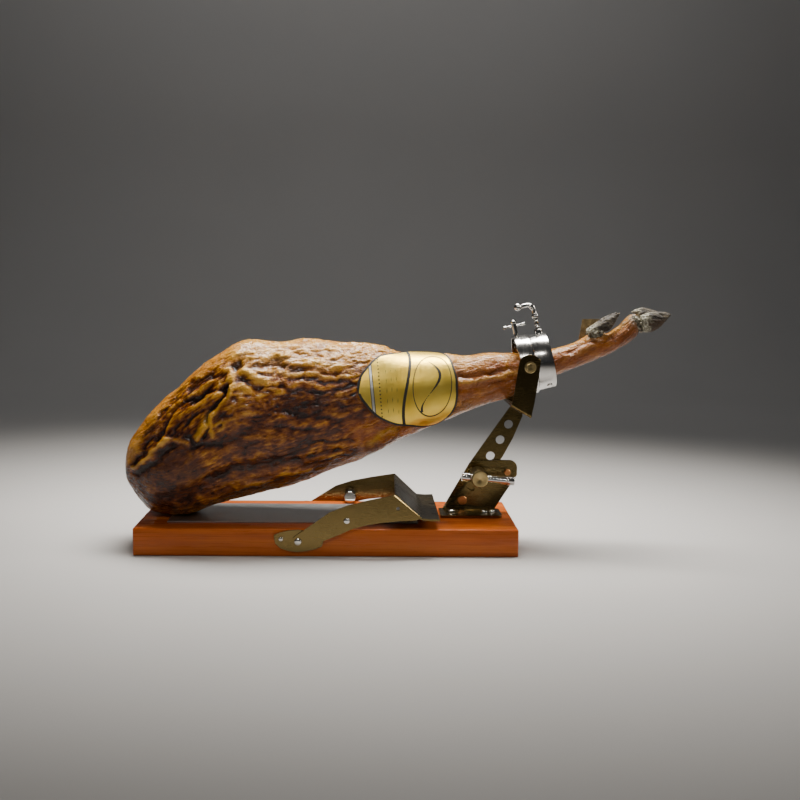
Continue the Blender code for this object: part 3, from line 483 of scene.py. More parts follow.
def to_mesh(bm: bmesh.types.BMesh, merge: float = 1e-6) -> bpy.types.Mesh:
    """Close a bmesh's seams, turn its faces outwards and hand it over as a mesh."""
    bmesh.ops.remove_doubles(bm, verts=bm.verts, dist=merge)
    bmesh.ops.recalc_face_normals(bm, faces=bm.faces)
    mesh = bpy.data.meshes.new("made")
    bm.to_mesh(mesh)
    bm.free()
    return mesh


def evaluated(mesh: bpy.types.Mesh, prepare: Callable[[bpy.types.Object], None]) -> bpy.types.Mesh:
    """Run modifiers on a mesh and return the plain result.

    Args:
        mesh: the start.
        prepare: adds the modifiers to the object that it is given.

    Returns:
        The new mesh.
    """
    holder = bpy.data.objects.new("holder", mesh)
    bpy.context.scene.collection.objects.link(holder)
    prepare(holder)
    graph = bpy.context.evaluated_depsgraph_get()
    result = bpy.data.meshes.new_from_object(holder.evaluated_get(graph))
    bpy.data.objects.remove(holder, do_unlink=True)
    return result


def lathe(bm: bmesh.types.BMesh, origin: Vector, axis: Vector, profile: Sequence[Pair], steps: int = 64,
          looped: bool = False) -> None:
    """Revolve a profile into a bmesh.

    Args:
        bm: takes the faces.
        origin: the point on the axis that distances are counted from.
        axis: the direction of the axis.
        profile: (distance, radius) points. A radius of 0 is a pole.
        steps: facets around.
        looped: joins the last point to the first, for a ring.
    """
    w = axis.normalized()
    side = Vector((0, 1, 0)) if abs(w.y) < 0.9 else Vector((1, 0, 0))
    u = side.cross(w).normalized()
    v = w.cross(u)
    turns = [2 * math.pi * i / steps for i in range(steps)]
    rings = []
    for along, radius in profile:
        centre = origin + w * along
        points = [centre] if radius == 0 else [centre + (u * math.cos(a) + v * math.sin(a)) * radius
                                               for a in turns]
        rings.append([bm.verts.new(p) for p in points])
    pairs = list(zip(rings, rings[1:])) + ([(rings[-1], rings[0])] if looped else [])
    for a, b in pairs:
        for i in range(max(len(a), len(b))):
            j = (i + 1) % max(len(a), len(b))
            corners = dict.fromkeys([a[i % len(a)], a[j % len(a)], b[j % len(b)], b[i % len(b)]])
            bm.faces.new(list(corners))
    if not looped:
        for ring in (rings[0], rings[-1]):
            if len(ring) > 2:
                bm.faces.new(ring)


def rounded(profile: Sequence[Pair], radius: float, steps: int = 4) -> list[Pair]:
    """Round the inner corners of a profile.

    Args:
        profile: (distance, radius) points.
        radius: the rounding at each corner, less where the corner is short.
        steps: points on each rounding.

    Returns:
        The new profile, with its two ends as they were.
    """
    made = [profile[0]]
    for before, corner, after in zip(profile, profile[1:], profile[2:]):
        p, q, r = (np.array(point) for point in (before, corner, after))
        reach = min(radius, np.linalg.norm(p - q) * 0.45, np.linalg.norm(r - q) * 0.45)
        start = q + (p - q) / np.linalg.norm(p - q) * reach
        end = q + (r - q) / np.linalg.norm(r - q) * reach
        for k in range(steps + 1):
            t = k / steps
            made.append(tuple((1 - t) ** 2 * start + 2 * t * (1 - t) * q + t * t * end))
    made.append(profile[-1])
    return made


def sweep(bm: bmesh.types.BMesh, path: Sequence[Vector], radii: Sequence[float], steps: int = 24) -> None:
    """Sweep circles along a path in the XZ plane. A radius of 0 is a pole."""
    across = Vector((0, 1, 0))
    rings = []
    for i, (point, radius) in enumerate(zip(path, radii)):
        heading = path[min(i + 1, len(path) - 1)] - path[max(i - 1, 0)]
        normal = heading.normalized().cross(across)
        turns = [2 * math.pi * k / steps for k in range(steps)]
        points = [point] if radius == 0 else [point + (normal * math.cos(a) + across * math.sin(a)) * radius
                                              for a in turns]
        rings.append([bm.verts.new(p) for p in points])
    for a, b in zip(rings, rings[1:]):
        for i in range(max(len(a), len(b))):
            j = (i + 1) % max(len(a), len(b))
            corners = dict.fromkeys([a[i % len(a)], a[j % len(a)], b[j % len(b)], b[i % len(b)]])
            bm.faces.new(list(corners))
    for ring in (rings[0], rings[-1]):
        if len(ring) > 2:
            bm.faces.new(ring)


def softened(node: str, arris: float, bend: Callable[[Vector], bool] | None = None,
             bend_radius: float = 0.0) -> bpy.types.Mesh:
    """Copy a CAD node, round its bends and break its edges.

    Args:
        node: the CAD node.
        arris: the width of the broken edges.
        bend: true for a point on an edge where the sheet is bent.
        bend_radius: the rounding of those edges.

    Returns:
        The new mesh.
    """
    bm = bmesh.new()
    bm.from_mesh(frame["nodes"][node].data)
    bmesh.ops.remove_doubles(bm, verts=bm.verts, dist=2e-6)
    bmesh.ops.dissolve_limit(bm, angle_limit=math.radians(0.8), verts=bm.verts, edges=bm.edges)
    if bend is not None:
        bent = [e for e in bm.edges if len(e.link_faces) == 2 and e.calc_face_angle(0) > 0.7
                and all(bend(v.co) for v in e.verts)]
        bmesh.ops.bevel(bm, geom=bent, offset=bend_radius, segments=5, profile=0.5, affect="EDGES")
    hard = [e for e in bm.edges if len(e.link_faces) == 2 and e.calc_face_angle(0) > 0.7]
    bmesh.ops.bevel(bm, geom=hard, offset=arris, segments=1, profile=0.5, affect="EDGES", clamp_overlap=True)
    mesh = to_mesh(bm)

    def weigh(holder: bpy.types.Object) -> None:
        """Let large faces lead the shading."""
        mesh.shade_smooth()
        mesh.set_sharp_from_angle(angle=math.radians(32))
        holder.modifiers.new("weights", "WEIGHTED_NORMAL").keep_sharp = True

    return evaluated(mesh, weigh)


def grid_mesh(points: np.ndarray, poles: tuple[Vector, Vector] | None = None) -> bpy.types.Mesh:
    """Join rows of points, each row a closed loop, into a mesh.

    Args:
        points: rows by columns by 3, each row turning from the front over the top.
        poles: closing points before the first row and after the last one.

    Returns:
        The mesh, with its faces outwards and each row's vertices in order.
    """
    rows, columns = points.shape[:2]
    index = np.arange(rows * columns).reshape(rows, columns)
    after = np.roll(index, -1, axis=1)
    quads = np.stack([index[:-1], index[1:], after[1:], after[:-1]], axis=-1).reshape(-1, 4)
    faces = quads.tolist()
    verts = points.reshape(-1, 3).tolist()
    if poles:
        first, last = len(verts), len(verts) + 1
        verts += [tuple(poles[0]), tuple(poles[1])]
        faces += [[first, int(b), int(a)][::-1] for a, b in zip(index[0], after[0])]
        faces += [[last, int(b), int(a)] for a, b in zip(index[-1], after[-1])]
    mesh = bpy.data.meshes.new("rows")
    mesh.from_pydata(verts, [], faces)
    mesh.validate()
    return mesh


def carry(mesh: bpy.types.Mesh, name: str, values: np.ndarray) -> None:
    """Store one number per vertex. Vertices past the last number take 0."""
    full = np.zeros(len(mesh.vertices), np.float32)
    full[:values.size] = values.ravel()
    mesh.attributes.new(name, "FLOAT", "POINT").data.foreach_set("value", full)


def carry_reach(mesh: bpy.types.Mesh, centre: Vector) -> bpy.types.Mesh:
    """Store each point's distance from an axis that runs along Y through a centre, and its turn round it."""
    spots = [v.co - centre for v in mesh.vertices]
    carry(mesh, "reach", np.array([math.hypot(p.x, p.z) for p in spots]))
    turns = [c for p in spots for c in Vector((p.z, 0.0, -p.x)).normalized()]
    mesh.attributes.new("spin", "FLOAT_VECTOR", "POINT").data.foreach_set("vector", turns)
    return mesh


def centre_of(node: str) -> Vector:
    """The middle of a CAD node's box."""
    low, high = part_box(node)
    return (low + high) / 2


def joint(name: str) -> tuple[Vector, Vector]:
    """A joint's point and axis."""
    found = next(j for j in frame["joints"] if j["name"] == name)
    return Vector(found["pos_m"]), Vector(found["axis"])


# ---- geometry nodes ---------------------------------------------------------------------------

class NodeTree:
    """A Geometry Nodes tree with named inputs, run on points to make what repeats."""

    def __init__(self, name: str, sizes: dict[str, float]) -> None:
        """Start a tree with a geometry, a material and float inputs."""
        self.tree = bpy.data.node_groups.new(name, "GeometryNodeTree")
        face = self.tree.interface
        face.new_socket("Geometry", in_out="INPUT", socket_type="NodeSocketGeometry")
        face.new_socket("Geometry", in_out="OUTPUT", socket_type="NodeSocketGeometry")
        face.new_socket("Finish", in_out="INPUT", socket_type="NodeSocketMaterial")
        self.sizes = sizes
        for label in sizes:
            face.new_socket(label, in_out="INPUT", socket_type="NodeSocketFloat")
        self.inputs = self.tree.nodes.new("NodeGroupInput")
        self.output = self.tree.nodes.new("NodeGroupOutput")

    def add(self, kind: str, inputs: dict | None = None, **settings: object) -> bpy.types.Node:
        """Add a node with its inputs, each a socket or a value, and its own settings."""
        node = self.tree.nodes.new(kind)
        for key, value in settings.items():
            setattr(node, key, value)
        for key, value in (inputs or {}).items():
            if isinstance(value, bpy.types.NodeSocket):
                self.tree.links.new(value, node.inputs[key])
            else:
                node.inputs[key].default_value = value
        return node

    def close(self, geometry: bpy.types.NodeSocket) -> None:
        """End the tree in Realize Instances and Set Material."""
        real = self.add("GeometryNodeRealizeInstances", {"Geometry": geometry}).outputs[0]
        dressed = self.add("GeometryNodeSetMaterial", {"Geometry": real,
                                                       "Material": self.inputs.outputs["Finish"]}).outputs[0]
        self.tree.links.new(dressed, self.output.inputs[0])

    def run(self, start: bpy.types.Mesh, material: bpy.types.Material) -> bpy.types.Mesh:
        """Run the tree on a mesh.

        Args:
            start: the mesh that the tree reads.
            material: the finish of what it makes.

        Returns:
            The plain mesh.
        """
        def prepare(holder: bpy.types.Object) -> None:
            """Hang the tree on the object and set its inputs by identifier."""
            modifier = holder.modifiers.new("tree", "NODES")
            modifier.node_group = self.tree
            for item in self.tree.interface.items_tree:
                if item.in_out == "INPUT" and item.name in self.sizes:
                    modifier[item.identifier] = float(self.sizes[item.name])
                if item.in_out == "INPUT" and item.name == "Finish":
                    modifier[item.identifier] = material

        return evaluated(start, prepare)


@dataclass
class DomedHeads:
    """Round-headed screws and rivets, each set on a point that carries its own radius and height."""

    seats: list[tuple[Vector, Vector, float, float]]

    def mesh(self, material: bpy.types.Material) -> bpy.types.Mesh:
        """Set a domed head on every seat.

        Args:
            material: the heads' finish.

        Returns:
            One mesh of all the heads.
        """
        start = bpy.data.meshes.new("seats")
        start.from_pydata([tuple(seat) for seat, _, _, _ in self.seats], [], [])
        out = start.attributes.new("out", "FLOAT_VECTOR", "POINT")
        out.data.foreach_set("vector", [c for _, way, _, _ in self.seats for c in way])
        for label, column in (("reach", 2), ("rise", 3)):
            values = start.attributes.new(label, "FLOAT", "POINT")
            values.data.foreach_set("value", [seat[column] for seat in self.seats])
        tree = NodeTree("domed heads", {"Flatness": 0.55})
        ball = tree.add("GeometryNodeMeshUVSphere", {"Segments": 32, "Rings": 16, "Radius": 1.0})
        place = tree.add("GeometryNodeInputPosition")
        split = tree.add("ShaderNodeSeparateXYZ", {0: place.outputs[0]})
        low = tree.add("ShaderNodeMath", {0: split.outputs[2], 1: 0.0}, operation="MAXIMUM")
        high = tree.add("ShaderNodeMath", {0: low.outputs[0], 1: tree.inputs.outputs["Flatness"]},
                        operation="POWER")
        dome = tree.add("ShaderNodeCombineXYZ", {0: split.outputs[0], 1: split.outputs[1], 2: high.outputs[0]})
        head = tree.add("GeometryNodeSetPosition", {"Geometry": ball.outputs[0], "Position": dome.outputs[0]})
        closed = tree.add("GeometryNodeMergeByDistance", {"Geometry": head.outputs[0], "Distance": 0.0001})
        way = tree.add("GeometryNodeInputNamedAttribute", {"Name": "out"}, data_type="FLOAT_VECTOR")
        turn = tree.add("FunctionNodeAlignRotationToVector", {"Vector": way.outputs[0]}, axis="Z")
        sizes = [tree.add("GeometryNodeInputNamedAttribute", {"Name": label}, data_type="FLOAT").outputs[0]
                 for label in ("reach", "rise")]
        scale = tree.add("ShaderNodeCombineXYZ", {0: sizes[0], 1: sizes[0], 2: sizes[1]})
        heads = tree.add("GeometryNodeInstanceOnPoints", {
            "Points": tree.inputs.outputs["Geometry"], "Instance": closed.outputs[0],
            "Rotation": turn.outputs[0], "Scale": scale.outputs[0]})
        tree.close(heads.outputs[0])
        return tree.run(start, material)


@dataclass
class ScrewThread:
    """A helical thread ridge on a shaft."""

    base: Vector
    axis: Vector
    length: float
    radius: float
    pitch: float = 1.25 * MM

    def mesh(self, material: bpy.types.Material) -> bpy.types.Mesh:
        """Wind the ridge round its shaft.

        Args:
            material: the ridge's finish.

        Returns:
            The ridge as one mesh.
        """
        tree = NodeTree("screw thread", {"Length": self.length, "Radius": self.radius, "Pitch": self.pitch})
        size = tree.inputs.outputs
        turns = tree.add("ShaderNodeMath", {0: size["Length"], 1: size["Pitch"]}, operation="DIVIDE")
        spiral = tree.add("GeometryNodeCurveSpiral", {
            "Resolution": 20, "Rotations": turns.outputs[0], "Start Radius": size["Radius"],
            "End Radius": size["Radius"], "Height": size["Length"]})
        ridge = tree.add("ShaderNodeMath", {0: size["Pitch"], 1: 0.42}, operation="MULTIPLY")
        section = tree.add("GeometryNodeCurvePrimitiveCircle", {"Resolution": 4, "Radius": ridge.outputs[0]})
        wound = tree.add("GeometryNodeCurveToMesh", {"Curve": spiral.outputs[0], "Fill Caps": True,
                                                     "Profile Curve": section.outputs[0]})
        tree.close(wound.outputs[0])
        start = bpy.data.meshes.new("thread seat")
        mesh = tree.run(start, material)
        turn = self.axis.to_track_quat("Z", "Y").to_matrix().to_4x4()
        mesh.transform(Matrix.Translation(self.base) @ turn)
        return mesh


# ---- stand ------------------------------------------------------------------------------------

@dataclass
class Stand:
    """The board, its tray plate, the bracket and the plates that carry the support."""

    finishes: Finishes
    arris: float = 0.5 * MM
    board_arris: float = 2.0 * MM

    def board(self) -> None:
        """Make the varnished plank with rounded edges."""
        low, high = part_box("board")
        bm = bmesh.new()
        bmesh.ops.create_cube(bm, size=1.0)
        size, middle = high - low, (low + high) / 2
        bmesh.ops.transform(bm, matrix=Matrix.Translation(middle) @ Matrix.Diagonal((*size, 1.0)), verts=bm.verts)
        bmesh.ops.bevel(bm, geom=list(bm.edges), offset=self.board_arris, segments=4, profile=0.5,
                        affect="EDGES")
        settle("board_plank", to_mesh(bm), self.finishes.wood, Body.STAND, "wood", "board", sharp=60)

    def tray(self) -> None:
        """Make the thin steel plate that the butt rests on."""
        settle("tray_sheet", softened("tray_plate", 0.35 * MM), self.finishes.tray, Body.STAND, "steel",
               "tray_plate")

    def bracket(self) -> None:
        """Make the bracket plate, its pivot bolt and its stop bolt."""
        settle("bracket_sheet", softened("bracket", self.arris), self.finishes.sheet, Body.STAND, "steel",
               "bracket")
        for node, out in (("arm_pivot_bolt", 6.6 * MM), ("stop_bolt", 4.6 * MM)):
            low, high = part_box(node)
            middle, reach = centre_of(node), (high.x - low.x) / 2
            out = min(out, reach)
            bm = bmesh.new()
            face = Vector((middle.x, low.y, middle.z))
            profile = [(0, 0), (0, out - 0.5 * MM), (0.5 * MM, out), (2.2 * MM, out), (2.4 * MM, 0)]
            lathe(bm, face, Vector((0, 1, 0)), profile, 40)
            back = Vector((middle.x, high.y, middle.z))
            lathe(bm, back, Vector((0, -1, 0)), [(0, 0), (0, 0.8 * reach), (0.6 * MM, reach),
                                                 (4 * MM, reach), (4 * MM, 0)], 6 if reach > 6 * MM else 24)
            mesh = carry_reach(to_mesh(bm), middle)
            settle(f"{node}_head", mesh, self.finishes.copper, Body.STAND, "steel", node, sharp=25)

    def side_plates(self) -> None:
        """Make the two plates on the board's sides that the support turns on."""
        for side in ("front", "rear"):
            node = f"pivot_plate_{side}"
            settle(f"side_plate_{side}", softened(node, 0.45 * MM), self.finishes.sheet, Body.STAND, "steel", node)

    def screws(self) -> None:
        """Set the domed screws and the support's pivot rivets."""
        seats = []
        nodes = [f"bracket_screw_{i}" for i in (1, 2, 3)]
        for node in nodes:
            low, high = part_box(node)
            middle = centre_of(node)
            seats.append((Vector((middle.x, middle.y, low.z)), Vector((0, 0, 1)), (high.x - low.x) / 2,
                          high.z - low.z))
        for side, way in (("front", -1), ("rear", 1)):
            for stem in ("pivot_plate_screw", "support_bolt"):
                node = f"{stem}_{side}"
                nodes.append(node)
                low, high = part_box(node)
                middle = centre_of(node)
                reach = (high.x - low.x) / 2
                rise = 2.8 * MM if stem == "support_bolt" else 2.0 * MM
                face = (high.y if way > 0 else low.y) - way * rise
                seats.append((Vector((middle.x, face, middle.z)), Vector((0, way, 0)), reach, rise))
        mesh = DomedHeads(seats).mesh(self.finishes.bright)
        settle("stand_screws", mesh, self.finishes.bright, Body.STAND, "polished", *nodes, sharp=50)

    def build(self) -> None:
        """Build everything that stays still."""
        self.board()
        self.tray()
        self.bracket()
        self.side_plates()
        self.screws()


@dataclass
class Support:
    """The folding toothed support."""

    finishes: Finishes
    bend_radius: float = 3.4 * MM

    def sheet(self) -> None:
        """Make the bent sheet with its rounded shoulders."""
        low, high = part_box("support")
        reach = high.y - 0.3 * MM

        def shoulder(point: Vector) -> bool:
            """True where the cross plate turns down into an arm."""
            slope = 0.0866 - 0.914 * (point.x - 0.093)
            return abs(point.y) > reach and point.x < 0.132 and abs(point.z - slope) < 6 * MM

        mesh = softened("support", 0.3 * MM, shoulder, self.bend_radius)
        settle("support_sheet", mesh, self.finishes.sheet, Body.SUPPORT, "steel", "support")
        LOG.info("the support is %.0f mm long", (high.x - low.x) / MM)

    def stops(self) -> None:
        """Make the round stops inside the arms."""
        bm = bmesh.new()
        for side, way in (("front", 1), ("rear", -1)):
            low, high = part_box(f"support_stop_{side}")
            middle, reach = centre_of(f"support_stop_{side}"), (high.x - low.x) / 2
            seat = Vector((middle.x, low.y if way > 0 else high.y, middle.z))
            length = high.y - low.y
            profile = rounded([(0, 0), (0, reach), (length, reach), (length, 0)], 1.0 * MM)
            lathe(bm, seat, Vector((0, way, 0)), profile, 48)
        settle("support_stops", to_mesh(bm), self.finishes.turned, Body.SUPPORT, "polished",
               "support_stop_front", "support_stop_rear")

    def rivets(self) -> None:
        """Set the stops' domed rivets."""
        seats, nodes = [], []
        for side, way in (("front", -1), ("rear", 1)):
            node = f"support_stop_screw_{side}"
            nodes.append(node)
            low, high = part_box(node)
            middle = centre_of(node)
            rise = 2.5 * MM
            face = (high.y if way > 0 else low.y) - way * rise
            seats.append((Vector((middle.x, face, middle.z)), Vector((0, way, 0)), (high.x - low.x) / 2, rise))
        mesh = DomedHeads(seats).mesh(self.finishes.bright)
        settle("support_rivets", mesh, self.finishes.bright, Body.SUPPORT, "polished", *nodes, sharp=50)

    def build(self) -> None:
        """Build the support."""
        self.sheet()
        self.stops()
        self.rivets()


@dataclass
class Arm:
    """The tilting arm, the yoke and the clamp handle."""

    finishes: Finishes

    def strap(self) -> None:
        """Make the drilled arm and the bent yoke."""
        settle("arm_strap", softened("arm", 0.5 * MM), self.finishes.sheet, Body.ARM, "steel", "arm")
        low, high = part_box("yoke")

        def bend(point: Vector) -> bool:
            """True where the yoke's web turns up into a cheek."""
            return abs(point.y) > high.y - 0.3 * MM and point.z < low.z + 0.021

        settle("yoke_strap", softened("yoke", 0.5 * MM, bend, 3.6 * MM), self.finishes.sheet, Body.ARM, "steel",
               "yoke")

    def head_bolts(self) -> None:
        """Make the flat turned heads of the bolts that the ring tilts on."""
        bm = bmesh.new()
        for side, way in (("front", -1), ("rear", 1)):
            low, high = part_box(f"head_bolt_{side}")
            middle, reach = centre_of(f"head_bolt_{side}"), (high.x - low.x) / 2
            face = Vector((middle.x, low.y if way < 0 else high.y, middle.z))
            height = 2.6 * MM
            profile = [(0.25 * MM, 0), (0.05 * MM, 0.62 * reach), (0.35 * MM, 0.7 * reach), (0, 0.76 * reach),
                       (0, 0.9 * reach), (0.5 * MM, reach), (height, reach), (height, 0)]
            lathe(bm, face, Vector((0, -way, 0)), profile, 64)
        mesh = carry_reach(to_mesh(bm), centre_of("head_bolt_front"))
        settle("head_bolt_heads", mesh, self.finishes.faced, Body.ARM, "steel",
               "head_bolt_front", "head_bolt_rear", sharp=20)

    def clamp(self) -> None:
        """Make the clamp bolt, and the boss and bar that turn on it."""
        low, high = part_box("clamp_bolt")
        bm = bmesh.new()
        seat = Vector((centre_of("clamp_bolt").x, high.y, centre_of("clamp_bolt").z))
        lathe(bm, seat, Vector((0, -1, 0)), [(0, 0), (0, 7.4 * MM), (0.7 * MM, 8.4 * MM), (4 * MM, 8.4 * MM),
                                             (4 * MM, 4 * MM), (high.y - low.y, 4 * MM), (high.y - low.y, 0)], 6)
        settle("clamp_nut", to_mesh(bm), self.finishes.bright, Body.ARM, "steel", "clamp_bolt")

        low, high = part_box("clamp_boss")
        reach = (high.x - low.x) / 2
        seat = Vector((centre_of("clamp_boss").x, low.y, centre_of("clamp_boss").z))
        profile = [(0.15 * MM, 0), (0.15 * MM, 0.5 * MM), (0, 1.0 * MM), (0, reach - 1.2 * MM), (0.9 * MM, reach),
                   (2.4 * MM, reach), (2.6 * MM, reach - 0.35 * MM), (3.0 * MM, reach - 0.35 * MM),
                   (3.2 * MM, reach), (high.y - low.y, reach), (high.y - low.y, 0)]
        bm = bmesh.new()
        lathe(bm, seat, Vector((0, 1, 0)), profile, 72)
        mesh = carry_reach(to_mesh(bm), seat)
        settle("clamp_knob", mesh, self.finishes.faced, Body.CLAMP, "polished", "clamp_boss", sharp=20)

        low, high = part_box("clamp_bar")
        middle = Vector((centre_of("clamp_boss").x, centre_of("clamp_bar").y, centre_of("clamp_boss").z))
        drop = centre_of("clamp_bar") - middle
        along = Vector((drop.x, 0, drop.z)).normalized()
        cap = (high.y - low.y) / 2
        rod = cap - 0.8 * MM
        profile = rounded([(-25 * MM, 0), (-25 * MM, cap), (-13.4 * MM, cap), (-13 * MM, rod), (39.5 * MM, rod),
                           (39.9 * MM, cap), (50.2 * MM, cap), (50.2 * MM, 0)], 0.8 * MM)
        bm = bmesh.new()
        lathe(bm, middle, along, profile, 48)
        settle("clamp_rod", to_mesh(bm), self.finishes.turned, Body.CLAMP, "polished", "clamp_bar")

    def build(self) -> None:
        """Build the arm and what it carries."""
        self.strap()
        self.head_bolts()
        self.clamp()


@dataclass
class Rings:
    """The double ring that grips the shank, and its two hand screws."""

    finishes: Finishes
    fixed: tuple[float, ...] = (-10 * MM, 10.4 * MM, 43 * MM, 39.5 * MM)
    turning: tuple[float, ...] = (11 * MM, 35.5 * MM, 40 * MM, 36.5 * MM)
    axis: Vector = field(init=False)
    up: Vector = field(init=False)
    centre: Vector = field(init=False)

    def __post_init__(self) -> None:
        """Read the ring's own axes from the screw's joint and the head's pivot."""
        self.up = joint("ring_screw_turn")[1]
        self.axis = Vector((self.up.z, 0, -self.up.x))
        self.centre = joint("head_tilt")[0]

    @staticmethod
    def band(sizes: tuple[float, ...]) -> list[Pair]:
        """A ring's section: a flat face with rounded edges."""
        a, b, outer, inner = sizes
        edge = 0.9 * MM
        return [(a, inner + 0.3 * MM), (a, outer - edge), (a + 0.3 * edge, outer - 0.3 * edge),
                (a + edge, outer), (b - edge, outer), (b - 0.3 * edge, outer - 0.3 * edge),
                (b, outer - edge), (b, inner + 0.3 * MM), (b - 0.3 * MM, inner), (a + 0.3 * MM, inner)]

    def rings(self) -> None:
        """Make the fixed ring with its bosses, and the turning ring with its nut and set screw."""
        bm = bmesh.new()
        lathe(bm, self.centre, self.axis, self.band(self.fixed), 128, looped=True)
        low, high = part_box("ring_fixed")
        for way in (-1, 1):
            start = self.fixed[3] + MM
            profile = [(start, 0), (start, 9 * MM), (high.y - 0.6 * MM, 9 * MM), (high.y, 8.4 * MM), (high.y, 0)]
            lathe(bm, self.centre, Vector((0, way, 0)), profile, 48)
        settle("ring_left", to_mesh(bm), self.finishes.turned, Body.HEAD, "polished", "ring_fixed")

        bm = bmesh.new()
        lathe(bm, self.centre, self.axis, self.band(self.turning), 128, looped=True)
        foot = joint("lever_screw_turn")[0]
        nut = self.centre + self.axis * (foot - self.centre).dot(self.axis) + self.up * self.turning[2]
        lathe(bm, nut, self.up, rounded([(-0.6 * MM, 0), (-0.6 * MM, 6.2 * MM), (4.4 * MM, 5.8 * MM),
                                         (5.6 * MM, 5.0 * MM), (5.6 * MM, 0)], 0.8 * MM), 48)
        settle("ring_right", to_mesh(bm), self.finishes.turned, Body.HEAD, "polished", "ring_turning", "lever_nut")
        seat = centre_of("ring_set_screw")
        hub = self.centre + self.axis * (seat - self.centre).dot(self.axis)
        way = (seat - hub).normalized()
        mesh = DomedHeads([(hub + way * (self.turning[2] - 0.2 * MM), way, 3.6 * MM, 2.2 * MM)]).mesh(self.finishes.bright)
        settle("ring_rivet", mesh, self.finishes.bright, Body.HEAD, "steel", "ring_set_screw", sharp=50)

    def cross_screw(self) -> None:
        """Make the screw with the loose cross bar."""
        foot = joint("ring_screw_turn")[0]
        bm = bmesh.new()
        core = 3.05 * MM
        profile = rounded([(19.6 * MM, 0), (19.8 * MM, 2.4 * MM), (21 * MM, core), (45.6 * MM, core),
                           (46 * MM, 3.6 * MM), (60 * MM, 3.6 * MM), (60.6 * MM, 4.1 * MM), (63.6 * MM, 4.1 * MM),
                           (64.6 * MM, 2.8 * MM), (64.6 * MM, 0)], 0.6 * MM)
        lathe(bm, foot, self.up, profile, 40)
        settle("cross_screw", to_mesh(bm), self.finishes.turned, Body.RING_SCREW, "polished", "ring_screw")
        thread = ScrewThread(foot + self.up * 21 * MM, self.up, 24 * MM, core)
        settle("cross_screw_thread", thread.mesh(self.finishes.turned), self.finishes.turned, Body.RING_SCREW,
               "polished")
        bar = bmesh.new()
        middle = foot + self.up * 56.5 * MM
        profile = rounded([(-15.4 * MM, 0), (-15.4 * MM, 2.3 * MM), (-11.2 * MM, 2.3 * MM), (-10.6 * MM, 1.6 * MM),
                           (10.6 * MM, 1.6 * MM), (11.2 * MM, 2.3 * MM), (15.4 * MM, 2.3 * MM),
                           (15.4 * MM, 0)], 0.7 * MM)
        lathe(bar, middle, self.axis, profile, 32)
        settle("cross_bar", to_mesh(bar), self.finishes.turned, Body.RING_SCREW, "polished", "ring_screw_bar")

    def lever(self) -> None:
        """Make the bent lever screw with its ball end."""
        foot = joint("lever_screw_turn")[0]
        knee, top, rod, ball = 71.6 * MM, 81.1 * MM, 3.1 * MM, 5.4 * MM
        path, radii = [], []
        for height, radius in ((16.6, 0), (16.8, 2.0), (18, 2.9), (60.8, 2.9), (61.2, 4.4), (62, 5.0), (65, 5.0),
                               (66, 4.4), (66.6, 3.5), (68, 3.2), (71.6, 3.2)):
            path.append(foot + self.up * height * MM)
            radii.append(radius * MM)
        bend = top - knee
        for k in range(1, 11):
            a = math.pi / 2 * k / 10
            path.append(foot - self.axis * bend * (1 - math.cos(a)) + self.up * (knee + bend * math.sin(a)))
            radii.append(rod * (1 + 0.3 * math.exp(-((a - 0.7) / 0.35) ** 2)))
        centre = foot - self.axis * (bend + 12 * MM) + self.up * top
        for k in range(4, 21):
            a = math.pi * k / 20
            path.append(centre + self.axis * ball * math.cos(a))
            radii.append(0.0 if k == 20 else ball * math.sin(a))
        bm = bmesh.new()
        sweep(bm, path, radii, 32)
        settle("lever_rod", to_mesh(bm), self.finishes.turned, Body.LEVER, "polished", "lever_screw", sharp=50)
        thread = ScrewThread(foot + self.up * 18.5 * MM, self.up, 41 * MM, 2.9 * MM)
        settle("lever_thread", thread.mesh(self.finishes.turned), self.finishes.turned, Body.LEVER, "polished")

    def build(self) -> None:
        """Build the rings and their screws."""
        self.rings()
        self.cross_screw()
        self.lever()


# ---- ham --------------------------------------------------------------------------------------

@dataclass(frozen=True)
class Stroke:
    """A raised or sunk line of flesh, in mm, seen from the label side as X and Z."""

    rise: float
    width: float
    line: tuple[Pair, ...]
    tint: Tint = Tint.NONE
    depth_of_tint: float = 1.0


@dataclass(frozen=True)
class Patch:
    """An oval area of colour on the label side, in mm."""

    centre: Pair
    radii: Pair
    tint: Tint
    strength: float = 1.0


@dataclass(frozen=True)
class Knob:
    """A round lump on the foot, in mm."""

    centre: tuple[float, float, float]
    radius: float
    rise: float
    tint: Tint = Tint.NONE


